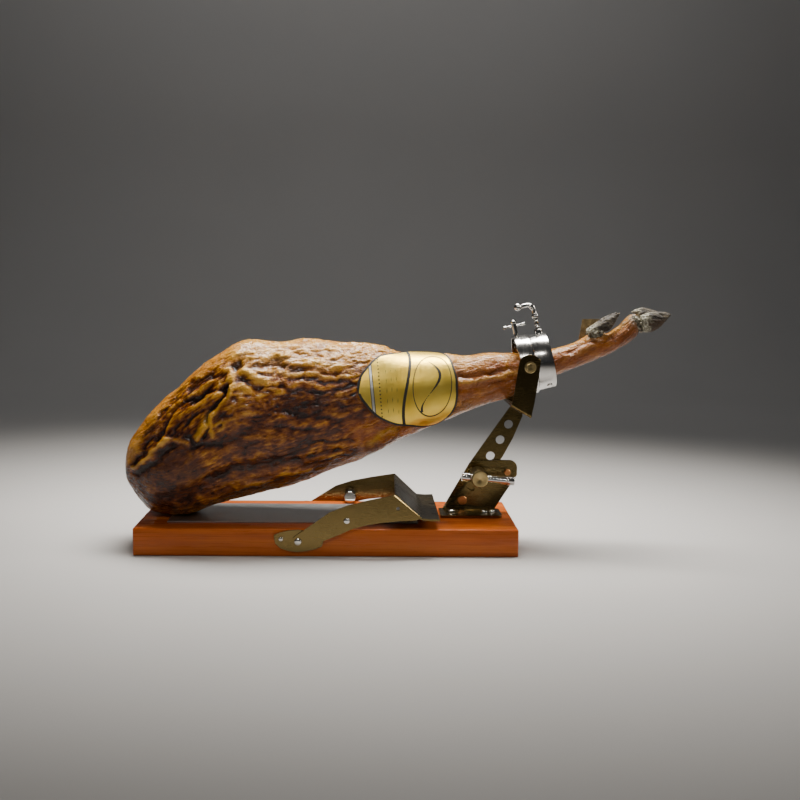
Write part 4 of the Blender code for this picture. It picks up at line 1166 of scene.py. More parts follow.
@dataclass
class HamForm:
    """The ham's outer form: sections lofted from the butt to the pastern, in mm."""

    power: float = 0.92
    rest: float = 40.6
    butt_tip: Pair = (-284.5, 112.0)
    foot_tip: Pair = (434.0, 314.0)
    # Top edge X, Z; lower edge X, Z; half thickness front, back.
    stations: tuple[tuple[float, ...], ...] = (
        (-282.0, 130.0, -284.5, 96.0, 22.0, 21.0),
        (-275.0, 148.0, -281.0, 84.0, 36.0, 34.0),
        (-258.0, 173.0, -268.0, 64.0, 50.0, 47.0),
        (-233.0, 200.0, -250.0, 44.0, 60.0, 56.0),
        (-208.0, 221.0, -226.0, 37.0, 67.0, 62.0),
        (-182.0, 246.0, -199.0, 38.0, 73.0, 66.0),
        (-152.0, 267.0, -168.0, 51.0, 78.0, 70.0),
        (-118.0, 285.5, -134.0, 61.0, 79.0, 71.0),
        (-78.0, 283.5, -92.0, 71.5, 77.0, 71.0),
        (-35.0, 287.5, -46.0, 84.0, 74.0, 68.0),
        (20.0, 284.0, 8.0, 106.0, 69.0, 62.0),
        (67.0, 281.0, 62.0, 127.0, 61.0, 54.0),
        (103.0, 271.0, 103.0, 149.0, 53.0, 47.0),
        (145.0, 269.0, 148.0, 168.5, 44.0, 40.0),
        (185.0, 266.5, 190.0, 186.5, 35.0, 33.0),
        (218.0, 271.0, 224.0, 199.5, 29.0, 28.0),
        (252.0, 271.5, 252.0, 208.5, 25.0, 25.0),
        (285.0, 274.0, 287.0, 226.0, 21.0, 21.0),
        (314.0, 278.0, 318.0, 240.5, 18.5, 18.5),
        (340.0, 285.0, 345.0, 250.5, 17.5, 17.5),
        (365.0, 297.0, 372.0, 262.0, 17.5, 17.5),
        (390.0, 300.5, 398.0, 274.0, 17.0, 17.0),
        (405.0, 310.0, 414.0, 283.5, 16.5, 16.5),
        (419.0, 322.5, 426.0, 291.5, 16.5, 16.5),
        (430.5, 328.0, 433.0, 299.0, 15.0, 15.0),
    )

    @staticmethod
    def between(values: np.ndarray, places: np.ndarray) -> np.ndarray:
        """Read a Catmull-Rom curve through rows of values at fractional row places."""
        rows = np.vstack([2 * values[0] - values[1], values, 2 * values[-1] - values[-2]])
        first = np.clip(np.floor(places).astype(int), 0, len(values) - 2)
        t = (places - first)[:, None]
        a, b, c, d = (rows[first + k] for k in range(4))
        return 0.5 * (2 * b + (c - a) * t + (2 * a - 5 * b + 4 * c - d) * t**2 + (3 * b - a - 3 * c + d) * t**3)

    def surface(self, places: np.ndarray, angles: np.ndarray) -> tuple[np.ndarray, np.ndarray]:
        """Points of the smooth skin.

        Args:
            places: fractional section numbers.
            angles: degrees, with 0 at the front, 90 at the top and 180 at the back.

        Returns:
            The points in mm, and the height of each above its section's middle.
        """
        rows = self.between(np.array(self.stations), places)
        top_x, top_z, low_x, low_z, front, back = rows.T[:, :, None]
        a = np.radians(angles)[None, :]
        s = np.sign(np.sin(a)) * np.abs(np.sin(a)) ** self.power
        c = np.sign(np.cos(a)) * np.abs(np.cos(a)) ** self.power
        x = (top_x + low_x) / 2 + (top_x - low_x) / 2 * s
        z = (top_z + low_z) / 2 + (top_z - low_z) / 2 * s
        y = -np.where(c > 0, front, back) * c
        height = np.hypot(top_x - low_x, top_z - low_z) / 2 * s
        return np.stack([x, y, z], axis=-1), height

    def even_places(self, count: int) -> np.ndarray:
        """Section numbers that lie at even distances along the leg."""
        dense = np.linspace(0, len(self.stations) - 1, 2000)
        rows = self.between(np.array(self.stations), dense)
        middles = (rows[:, :2] + rows[:, 2:4]) / 2
        gone = np.concatenate([[0], np.cumsum(np.linalg.norm(np.diff(middles, axis=0), axis=1))])
        return np.interp(np.linspace(0, gone[-1], count), gone, dense)

    @staticmethod
    def normals(points: np.ndarray) -> np.ndarray:
        """Outward unit normals of rows of points that close round the leg."""
        along = np.gradient(points, axis=0)
        around = (np.roll(points, -1, axis=1) - np.roll(points, 1, axis=1)) / 2
        normal = np.cross(along, around)
        return normal / np.maximum(np.linalg.norm(normal, axis=-1, keepdims=True), 1e-9)


@dataclass
class Ham:
    """The leg itself, with its folds, fat, skin, label and foot."""

    finishes: Finishes
    form: HamForm = field(default_factory=HamForm)
    rows: int = 400
    front_columns: int = 160
    back_columns: int = 74
    label_area: Pair = (34.0, 181.0)
    strokes: tuple[Stroke, ...] = (
        # The fat rim along the top left edge, and the folds inside it, with painted shade in the folds' creases.
        Stroke(4.0, 9.0, ((-276, 126), (-258, 158), (-231, 194), (-197, 229), (-162, 252), (-128, 274)), Tint.PALE, 0.25),
        Stroke(-2.8, 2.0, ((-222, 190), (-202, 214), (-184, 229), (-161, 243), (-142, 252)), Tint.DARK, 0.6),
        Stroke(2.2, 3.4, ((-212, 190), (-199, 205), (-176, 221), (-155, 232)), Tint.PALE, 0.2),
        Stroke(-3.6, 3.0, ((-231, 153), (-218, 177), (-206, 197), (-193, 207), (-170, 217), (-152, 222)), Tint.DARK, 0.7),
        Stroke(2.2, 4.0, ((-222, 158), (-208, 178), (-190, 196), (-166, 206)), Tint.NONE),
        Stroke(-2.4, 2.2, ((-206, 164), (-194, 180), (-176, 190)), Tint.DARK, 0.5),
        Stroke(-2.4, 1.8, ((-250, 158), (-236, 176), (-222, 196), (-204, 214)), Tint.DARK, 0.5),
        Stroke(-2.0, 1.8, ((-196, 168), (-184, 184), (-168, 196)), Tint.DARK, 0.4),
        Stroke(-2.0, 1.8, ((-190, 222), (-172, 232), (-150, 238)), Tint.DARK, 0.5),
        Stroke(-3.4, 5.0, ((-266, 124), (-254, 140), (-236, 158), (-222, 178)), Tint.DARK, 0.45),
        # The torn edge of the skin and the smooth mass below it, with painted shade under the edge.
        Stroke(4.6, 3.4, ((-266, 112), (-256, 120), (-245, 129), (-226, 146)), Tint.PALE, 0.8),
        Stroke(4.6, 4.6, ((-226, 147), (-217, 154)), Tint.PALE, 0.9),
        Stroke(2.4, 3.2, ((-214, 154), (-198, 154), (-188, 150)), Tint.PALE, 0.4),
        Stroke(-3.0, 4.0, ((-262, 104), (-240, 120), (-218, 138)), Tint.DARK, 0.6),
        # The hip: two pits filled with painted shade, yellow knobs and a pale lump, partly fat and partly a painted
        # highlight.
        Stroke(-9.0, 5.2, ((-126, 253), (-120, 258)), Tint.DARK, 1.0),
        Stroke(-9.0, 4.6, ((-142, 222), (-135, 228)), Tint.DARK, 1.0),
        Stroke(5.4, 4.2, ((-134, 238), (-129, 238)), Tint.OLIVE, 1.0),
        Stroke(4.4, 3.6, ((-126, 231), (-134, 217)), Tint.OLIVE, 0.9),
        Stroke(5.4, 5.4, ((-112, 247), (-98, 240), (-84, 235)), Tint.PALE, 1.0),
        Stroke(-3.4, 3.0, ((-116, 238), (-104, 228), (-88, 226)), Tint.DARK, 0.5),
        Stroke(3.0, 5.0, ((-148, 246), (-136, 248), (-128, 244)), Tint.PALE, 0.4),
        # The rounded muscle with a painted highlight along its lit edge and painted shade in the groove beside it,
        # the yellow horns and the curl at its foot, with painted shade in its middle.
        Stroke(5.0, 20.0, ((-112, 222), (-124, 200), (-134, 184))),
        Stroke(-6.0, 3.0, ((-134, 228), (-141, 212), (-151, 203), (-161, 189), (-164, 178)), Tint.DARK, 0.8),
        Stroke(2.6, 2.4, ((-128, 227), (-134, 211), (-144, 201), (-154, 189), (-157, 177)), Tint.OLIVE, 0.7),
        Stroke(6.5, 5.6, ((-173, 158), (-168, 168), (-163, 178), (-156, 190)), Tint.OLIVE, 1.0),
        Stroke(-4.6, 2.2, ((-164, 158), (-161, 172)), Tint.DARK, 0.9),
        Stroke(4.6, 3.6, ((-158, 169), (-151, 161)), Tint.OLIVE, 0.9),
        Stroke(2.4, 1.7, ((-150, 176), (-147, 181), (-142, 182), (-138, 178), (-140, 173), (-146, 172)), Tint.OLIVE, 0.5),
        Stroke(-2.6, 2.0, ((-145, 177), (-143, 177)), Tint.DARK, 0.9),
        Stroke(-3.0, 3.6, ((-186, 160), (-176, 146), (-160, 148), (-146, 152)), Tint.DARK, 0.5),
        # The lumpy top: its pale bulges are partly fat and partly painted highlight, with painted shade in its dark
        # grooves.
        Stroke(3.0, 6.5, ((-104, 263), (-80, 268), (-58, 268)), Tint.PALE, 0.6),
        Stroke(3.2, 8.0, ((-64, 268), (-42, 262), (-18, 259), (12, 254)), Tint.PALE, 1.0),
        Stroke(-3.8, 2.6, ((-56, 277), (-45, 272), (-32, 268), (-8, 268)), Tint.AMBER, 1.0),
        Stroke(-2.6, 2.4, ((-96, 255), (-72, 256), (-60, 251)), Tint.AMBER, 0.9),
        Stroke(2.6, 5.5, ((-80, 248), (-60, 246), (-40, 243)), Tint.PALE, 0.5),
        Stroke(2.6, 8.0, ((-80, 239), (-58, 232), (-30, 226)), Tint.AMBER, 0.6),
        Stroke(-2.4, 2.4, ((-36, 252), (-8, 247), (20, 246)), Tint.AMBER, 0.8),
        Stroke(2.2, 3.4, ((-30, 246), (0, 241), (28, 240)), Tint.PALE, 0.5),
        Stroke(-2.6, 2.6, ((-40, 240), (-12, 235), (30, 236)), Tint.DARK, 0.5),
        Stroke(-3.0, 2.6, ((-66, 228), (-50, 223), (-12, 221), (18, 226), (34, 231)), Tint.DARK, 0.6),
        # The glistening lean, the fissure and the long valley above the lower roll, with painted shade in the lean's
        # creases, the fissure, the valley and the roll's wrinkles.
        Stroke(-2.4, 15.0, ((-66, 206), (-16, 205), (32, 210)), Tint.WET, 1.0),
        Stroke(-2.6, 2.6, ((-70, 196), (-30, 190), (10, 186)), Tint.DARK, 0.6),
        Stroke(-2.2, 2.6, ((-92, 178), (-50, 172), (-10, 170)), Tint.DARK, 0.4),
        Stroke(-4.2, 1.9, ((-24, 149), (2, 154), (21, 156), (34, 152)), Tint.DARK, 1.0),
        Stroke(-5.0, 11.0, ((-192, 72), (-178, 84), (-159, 97), (-126, 112), (-85, 118), (-44, 126)), Tint.DARK, 1.0),
        Stroke(-2.0, 4.0, ((-44, 127), (-14, 136), (14, 140)), Tint.DARK, 0.5),
        Stroke(3.6, 8.0, ((-170, 62), (-136, 79), (-111, 91), (-74, 97), (-27, 112)), Tint.AMBER, 0.5),
        Stroke(-2.0, 2.2, ((-150, 73), (-110, 84), (-66, 94), (-20, 108)), Tint.DARK, 0.5),
        Stroke(-1.8, 2.0, ((-110, 98), (-70, 106), (-20, 120), (24, 132)), Tint.DARK, 0.4),
        # The skin under the label, with a short crease of painted shade.
        Stroke(-2.4, 8.0, ((58, 147), (74, 160), (88, 167)), Tint.OLIVE, 0.8),
        Stroke(1.4, 1.5, ((22, 160), (40, 171), (68, 184)), Tint.PALE, 0.3),
        Stroke(-1.6, 1.4, ((92, 170), (96, 162), (99, 155)), Tint.DARK, 0.5),
        # The shank's tendons, and painted shadow under the dewclaw.
        Stroke(-3.6, 3.4, ((178, 241), (205, 244), (228, 246), (256, 250)), Tint.AMBER, 0.9),
        Stroke(2.8, 4.0, ((178, 232), (205, 236), (232, 240), (262, 246)), Tint.PALE, 0.6),
        Stroke(-2.4, 2.6, ((180, 222), (206, 226), (234, 232), (258, 239)), Tint.AMBER, 1.0),
        Stroke(-2.0, 2.2, ((188, 204), (214, 212), (244, 224)), Tint.AMBER, 0.8),
        Stroke(2.0, 4.0, ((330, 270), (352, 276), (368, 283)), Tint.PALE, 0.3),
        Stroke(-2.2, 2.6, ((334, 276), (346, 281), (356, 287)), Tint.AMBER, 1.0),
        Stroke(-1.8, 2.4, ((368, 290), (380, 291), (392, 297)), Tint.DARK, 0.6),
    )
    patches: tuple[Patch, ...] = (
        # The dark patches on the lower left, near the butt, at the muscle's foot, along the lower body and above the
        # lower roll are painted shade; the dark patch in the glistening lean is darker lean.
        Patch((-205, 104), (52, 50), Tint.DARK, 0.75),
        Patch((-255, 84), (26, 44), Tint.DARK, 0.8),
        Patch((-214, 112), (56, 46), Tint.WET, 0.25),
        Patch((-14, 204), (72, 22), Tint.DARK, 0.4),
        Patch((-25, 262), (46, 11), Tint.WET, 0.9),
        Patch((-120, 186), (38, 34), Tint.DARK, 0.3),
        Patch((75, 162), (62, 30), Tint.AMBER, 0.9),
        Patch((215, 226), (52, 30), Tint.AMBER, 0.75),
        Patch((330, 262), (60, 26), Tint.AMBER, 0.9),
        Patch((395, 286), (48, 22), Tint.AMBER, 0.9),
        Patch((-30, 106), (110, 22), Tint.AMBER, 0.35),
        Patch((-84, 150), (110, 42), Tint.DARK, 0.3),
        Patch((-128, 96), (70, 26), Tint.DARK, 0.45),
    )
    knobs: tuple[Knob, ...] = (
        Knob((368, -8, 298), 7, 3.4, Tint.GREY),
        Knob((368, 8, 298), 7, 3.4, Tint.GREY),
        Knob((379, -8, 300), 7, 3.0, Tint.GREY),
        Knob((379, 8, 300), 7, 3.0, Tint.GREY),
        Knob((411, -7, 316), 5, 2.0, Tint.GREY),
        Knob((427, -10, 320), 10, 2.8, Tint.GREY),
        Knob((427, 10, 322), 10, 3.2, Tint.GREY),
        Knob((432, -12, 312), 6, 1.6, Tint.GREY),
        Knob((401, -4, 308), 6, 1.6, Tint.AMBER),
        # A bump on top of the shank, painted pale as a painted highlight.
        Knob((172, 0, 268), 16, 2.4, Tint.PALE),
    )

    def angles(self) -> np.ndarray:
        """Angles round the leg, closer together on the label side."""
        front = np.linspace(-100, 100, self.front_columns, endpoint=False)
        back = np.linspace(100, 260, self.back_columns, endpoint=False)
        return np.concatenate([front, back])

    @staticmethod
    def cloud(points: np.ndarray, scale: Sequence[float], octaves: int, shift: float = 0.0) -> np.ndarray:
        """Fractal noise, about -1 to 1, at points scaled per axis."""
        placed = points.reshape(-1, 3) * np.array(scale) + shift
        values = [noise.fractal(Vector(p), 0.9, 2.0, octaves) for p in placed]
        return np.array(values).reshape(points.shape[:-1])

    @staticmethod
    def nearness(x: np.ndarray, z: np.ndarray, line: tuple[Pair, ...], width: float) -> np.ndarray:
        """1 on a line, falling off over its width."""
        near = np.full_like(x, np.inf)
        for (ax, az), (bx, bz) in zip(line, line[1:]):
            dx, dz = bx - ax, bz - az
            t = np.clip(((x - ax) * dx + (z - az) * dz) / (dx * dx + dz * dz), 0, 1)
            near = np.minimum(near, np.hypot(x - ax - t * dx, z - az - t * dz))
        return np.exp(-(near / width) ** 2)

    @staticmethod
    def blur(values: np.ndarray, rows: int, columns: int) -> np.ndarray:
        """Average over a window that wraps round the leg."""
        out = np.zeros_like(values)
        for k in range(-columns, columns + 1):
            out += np.roll(values, k, axis=1)
        out /= 2 * columns + 1
        padded = np.pad(out, ((rows, rows), (0, 0)), mode="edge")
        return sum(padded[k:k + len(values)] for k in range(2 * rows + 1)) / (2 * rows + 1)

    @staticmethod
    def ease(value: np.ndarray, low: float, high: float) -> np.ndarray:
        """0 below low, 1 above high and smooth between."""
        t = np.clip((value - low) / (high - low), 0, 1)
        return t * t * (3 - 2 * t)

    def flow(self, base: np.ndarray, height: np.ndarray) -> np.ndarray:
        """Coordinates that follow the muscle: X, Y and a height that keeps to the rims of the butt."""
        half = np.abs(height).max(axis=1, keepdims=True)
        spread = half + np.maximum(110.0 - half, 0.0) * (1 - self.ease(base[..., 0], -140.0, -80.0))
        return np.stack([base[..., 0], base[..., 1], height / half * spread], axis=-1)

    def relief(self, base: np.ndarray, height: np.ndarray, angles: np.ndarray
               ) -> tuple[np.ndarray, dict[str, np.ndarray]]:
        """Work out how far the skin stands out, and its masks.

        Args:
            base: the smooth points in mm.
            height: each point's height above its section's middle.
            angles: the columns' angles.

        Returns:
            The relief in mm, and the masks by name.
        """
        x, y, z = (base[..., k] for k in range(3))
        flow = self.flow(base, height)
        wx = x + 4.0 * self.cloud(base, (0.045,) * 3, 2) + 1.0 * self.cloud(base, (0.15,) * 3, 2, 3.0)
        wz = z + 4.0 * self.cloud(base, (0.045,) * 3, 2, 31.0) + 1.0 * self.cloud(base, (0.15,) * 3, 2, 61.0)
        swell = self.cloud(base, (0.07,) * 3, 2, 11.0)
        front = np.clip(np.cos(np.radians(angles)), 0, 1)[None, :] ** 0.6
        crest = self.ease(np.sin(np.radians(angles)), 0.45, 0.95)[None, :] + 0 * x
        masks = {tint.value: np.zeros_like(x) for tint in Tint if tint is not Tint.NONE}
        out = np.zeros_like(x)
        for stroke in self.strokes:
            width = stroke.width * (1 + 0.45 * np.clip(swell, -1, 1))
            near = self.nearness(wx, wz, stroke.line, width) * front
            out += 0.8 * stroke.rise * near * (1 - 0.5 * np.clip(swell, -1, 1))
            if stroke.tint is not Tint.NONE:
                mask = masks[stroke.tint.value]
                np.maximum(mask, near ** 2.0 * stroke.depth_of_tint, out=mask)
        for patch in self.patches:
            (cx, cz), (rx, rz) = patch.centre, patch.radii
            reach = np.hypot((wx - cx) / rx, (wz - cz) / rz)
            mask = masks[patch.tint.value]
            np.maximum(mask, (1 - self.ease(reach, 0.55, 1.1)) * patch.strength * front, out=mask)
        for knob in self.knobs:
            away = np.linalg.norm(base - np.array(knob.centre), axis=-1)
            near = np.exp(-(away / knob.radius) ** 2)
            out += knob.rise * near
            if knob.tint is not Tint.NONE:
                mask = masks[knob.tint.value]
                np.maximum(mask, near, out=mask)

        folds = self.cloud(flow, (0.02, 0.07, 0.07), 3)
        creases = np.minimum(np.abs(self.cloud(flow, (0.026, 0.1, 0.1), 2, 7.0)) * 2.4, 1.0) - 0.6
        fine = np.minimum(np.abs(self.cloud(flow, (0.06, 0.19, 0.19), 2, 17.0)) * 2.4, 1.0) - 0.6
        rim = self.ease(self.nearness(wx, wz, ((-284, 120), (-262, 164), (-233, 202), (-199, 238), (-162, 262),
                                               (-126, 284)), 15.0), 0.35, 0.8)
        calm = np.maximum(self.nearness(wx, wz, ((-214, 104), (-196, 84)), 40.0) * front,
                          self.nearness(wx, wz, ((50, 148), (100, 170)), 22.0) * front)
        calm = np.maximum(calm, rim)
        lean = front * (1 - self.ease(x, 150, 190)) * (1 - 0.85 * calm)
        back = 1 - np.clip(np.cos(np.radians(angles)) + 0.35, 0, 1)[None, :]
        shank = self.ease(x, 150, 200)
        upper = self.ease(np.broadcast_to(np.sin(np.radians(angles))[None, :], x.shape), -0.15, 0.55)
        wild = lean + 0.3 * back * (1 - shank) + 0.3 * shank + 0.5 * crest * (1 - shank)
        out += wild * (1.3 * folds + (0.9 + 0.9 * upper) * creases + (0.8 + 0.5 * upper) * fine)
        out += 1.2 * self.cloud(base, (0.03,) * 3, 3, 5.0) * (1 - 0.5 * shank)

        tucked = self.ease(x, self.label_area[0], self.label_area[0] + 14)
        tucked *= 1 - self.ease(x, self.label_area[1] - 8, self.label_area[1])
        label = tucked * self.label_cover(x, np.broadcast_to(angles[None, :], x.shape))
        out = out * (1 - label) - 0.4 * label
        ends = self.ease(x, -284, -272) * (1 - 0.6 * self.ease(x, 424, 432))
        out *= ends
        # The ridge value is high on raised folds and upper faces and low in hollows: painted light on the ridges and
        # the upper side, painted shade in the hollows.
        ridge = out - self.blur(out, 4, 5)
        masks["ridge"] = np.clip(0.44 + 0.1 * upper + ridge / 5.5 + 0.02 * out, 0, 1)
        # The top of the leg is painted paler: partly fat, partly painted light from above.
        top = crest * (1 - self.ease(x, 175, 215) * 0.4) * self.ease(x, -150, -110)
        masks["pale"] = np.maximum(masks["pale"], 0.7 * top * (1 - masks["dark"]))
        masks["smooth"] = np.clip(np.maximum(back, 0.9 * rim) + 0.5 * shank, 0, 1)
        masks["amber"] = np.maximum(masks["amber"], 0.75 * self.ease(x, 180, 215) * (1 - masks["pale"]))
        masks["dark"] *= 1 - 0.7 * self.ease(x, 380, 410)
        return out, masks

    def label_cover(self, x: np.ndarray, angles: np.ndarray) -> np.ndarray:
        """1 where the label lies over the skin."""
        edges = np.array(Label.edges)
        low = np.interp(x, edges[:, 0], edges[:, 1])
        high = np.interp(x, edges[:, 0], edges[:, 2])
        turned = (angles + 180) % 360 - 180
        return self.ease(turned, low - 7, low + 1) * (1 - self.ease(turned, high - 1, high + 7))

    def leg(self) -> None:
        """Make the leg."""
        form, angles = self.form, self.angles()
        places = form.even_places(self.rows)
        base, height = form.surface(places, angles)
        out, masks = self.relief(base, height, angles)
        points = base + form.normals(base) * out[..., None]
        points[..., 2] = np.maximum(points[..., 2], form.rest)
        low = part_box("ham")[0]
        points[..., 0] = np.maximum(points[..., 0], low.x / MM)
        ends = (Vector((form.butt_tip[0] * MM, 0, form.butt_tip[1] * MM)),
                Vector((form.foot_tip[0] * MM, 0, form.foot_tip[1] * MM)))
        mesh = grid_mesh(points * MM, ends)
        for name, values in masks.items():
            carry(mesh, name, values)
        flow = np.zeros((len(mesh.vertices), 3), np.float32)
        flow[:height.size] = self.flow(base, height).reshape(-1, 3) * MM
        mesh.attributes.new("flow", "FLOAT_VECTOR", "POINT").data.foreach_set("vector", flow.ravel())
        settle("leg", mesh, self.finishes.flesh, Body.HEAD, "ham", "ham", sharp=180)

    def claws(self) -> None:
        """Make the hooves and the dewclaws from the frame's own, rounded and roughened."""
        for node in ("hoof_near", "hoof_far", "dewclaw_near", "dewclaw_far"):
            bm = bmesh.new()
            bm.from_mesh(frame["nodes"][node].data)
            bmesh.ops.remove_doubles(bm, verts=bm.verts, dist=2e-6)
            bmesh.ops.join_triangles(bm, faces=bm.faces, angle_face_threshold=0.9, angle_shape_threshold=0.9)
            bmesh.ops.recalc_face_normals(bm, faces=bm.faces)
            start = bpy.data.meshes.new(node)
            bm.to_mesh(start)
            bm.free()

            def refine(holder: bpy.types.Object) -> None:
                """Round the claw off."""
                smooth = holder.modifiers.new("round", "SUBSURF")
                smooth.levels = smooth.render_levels = 4

            mesh = evaluated(start, refine)
            low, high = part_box(node)
            inset = Vector((0.4 * MM,) * 3)
            first = Vector(min(v.co[k] for v in mesh.vertices) for k in range(3))
            size = Vector(max(v.co[k] for v in mesh.vertices) - first[k] for k in range(3))
            room = high - low - 2 * inset
            for vertex in mesh.vertices:
                vertex.co = [low[k] + inset[k] + (vertex.co[k] - first[k]) / size[k] * room[k] for k in range(3)]
            soles, crowns = [], []
            for vertex, normal in zip(mesh.vertices, [v.normal.copy() for v in mesh.vertices]):
                p = vertex.co.copy()
                scales = noise.fractal(Vector((p.x * 90, p.y * 420, p.z * 420)), 0.8, 2.0, 4)
                rings = math.sin(p.x / (1.7 * MM) + 2.0 * noise.noise(p * 120))
                base = 1 - (p.x - low.x) / (high.x - low.x) / 0.34 + 0.5 * noise.noise(p * 260)
                crown = max(0.0, min(1.0, 2.2 * base))
                hair = noise.fractal(p * 380, 0.9, 2.0, 3)
                moved = p + normal * (0.55 * scales + 0.12 * rings + 0.8 * crown * hair) * MM
                vertex.co = [min(max(value, a), b) for value, a, b in zip(moved, low, high)]
                crowns.append(crown)
                # Hoof points below three quarters of the hoof's height turn darker brown.
                soles.append(max(0.0, min(1.0, (low.z + 0.74 * (high.z - low.z) - p.z) / (5 * MM)))
                             if node.startswith("hoof") else 0.0)
            carry(mesh, "sole", np.array(soles))
            carry(mesh, "crown", np.array(crowns))
            settle(f"{node}_horn", mesh, self.finishes.horn, Body.HEAD, "horn", node, sharp=180)

    def calluses(self) -> None:
        """Make the rough skin that grips the roots of the claws."""
        for name, centre, radii, lean in (("hoof_skin", (431.5, 8.6, 315.0), (6.4, 8.6, 13.6), -30.0),
                                          ("dewclaw_skin", (373.5, 8.4, 301.0), (11.5, 8.2, 6.4), -17.0)):
            turn = Matrix.Rotation(math.radians(lean), 3, "Y")
            for side, word in ((-1, "near"), (1, "far")):
                middle = Vector((centre[0], side * centre[1], centre[2])) * MM
                bm = bmesh.new()
                bmesh.ops.create_icosphere(bm, subdivisions=6, radius=1.0)
                for vertex in bm.verts:
                    out = vertex.co.copy()
                    p = middle + turn @ Vector(out[k] * radii[k] for k in range(3)) * MM
                    wrinkle = 1 - abs(noise.fractal(Vector((p.x * 150, p.y * 150, p.z * 330)), 0.8, 2.0, 3))
                    scabs = noise.fractal(p * 420, 0.8, 2.0, 4)
                    vertex.co = p + turn @ out * (1.7 * (wrinkle - 0.6) + 0.7 * scabs) * MM
                mesh = to_mesh(bm)
                carry(mesh, "grey", np.full(len(mesh.vertices), 0.92))
                settle(f"{name}_{word}", mesh, self.finishes.flesh, Body.HEAD, "ham", sharp=180)

    def tag(self) -> None:
        """Make the frayed card tag."""
        low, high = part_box("tag")
        across, up = 28, 34
        bm = bmesh.new()
        layers = []
        for y in (low.y, high.y):
            rows = []
            for j in range(up + 1):
                row = []
                for i in range(across + 1):
                    x = low.x + (high.x - low.x) * i / across
                    z = low.z + (high.z - low.z) * j / up
                    rim = i in (0, across) or j in (0, up)
                    ragged = 0.7 * MM * noise.noise(Vector((x, z, 0)) * 400) if rim else 0.0
                    curl = 0.25 * MM * noise.noise(Vector((x * 60, z * 60, 3)))
                    lean = (z - low.z) * 0.15 * (1 - i / across)
                    row.append(bm.verts.new((x + ragged + lean, y + curl, z + ragged)))
                rows.append(row)
            layers.append(rows)
        for rows in layers:
            for a, b in zip(rows, rows[1:]):
                for i in range(across):
                    bm.faces.new([a[i], a[i + 1], b[i + 1], b[i]])
        near, far = layers
        rim = [(0, i) for i in range(across)] + [(j, across) for j in range(up)]
        rim += [(up, i) for i in range(across, 0, -1)] + [(j, 0) for j in range(up, 0, -1)]
        for (a, b), (c, d) in zip(rim, rim[1:] + rim[:1]):
            bm.faces.new([near[a][b], near[c][d], far[c][d], far[a][b]])
        settle("card_tag", to_mesh(bm), self.finishes.card, Body.HEAD, "card", "tag")

    def build(self) -> None:
        """Build the leg, its claws and its tag."""
        self.leg()
        self.claws()
        self.calluses()
        self.tag()


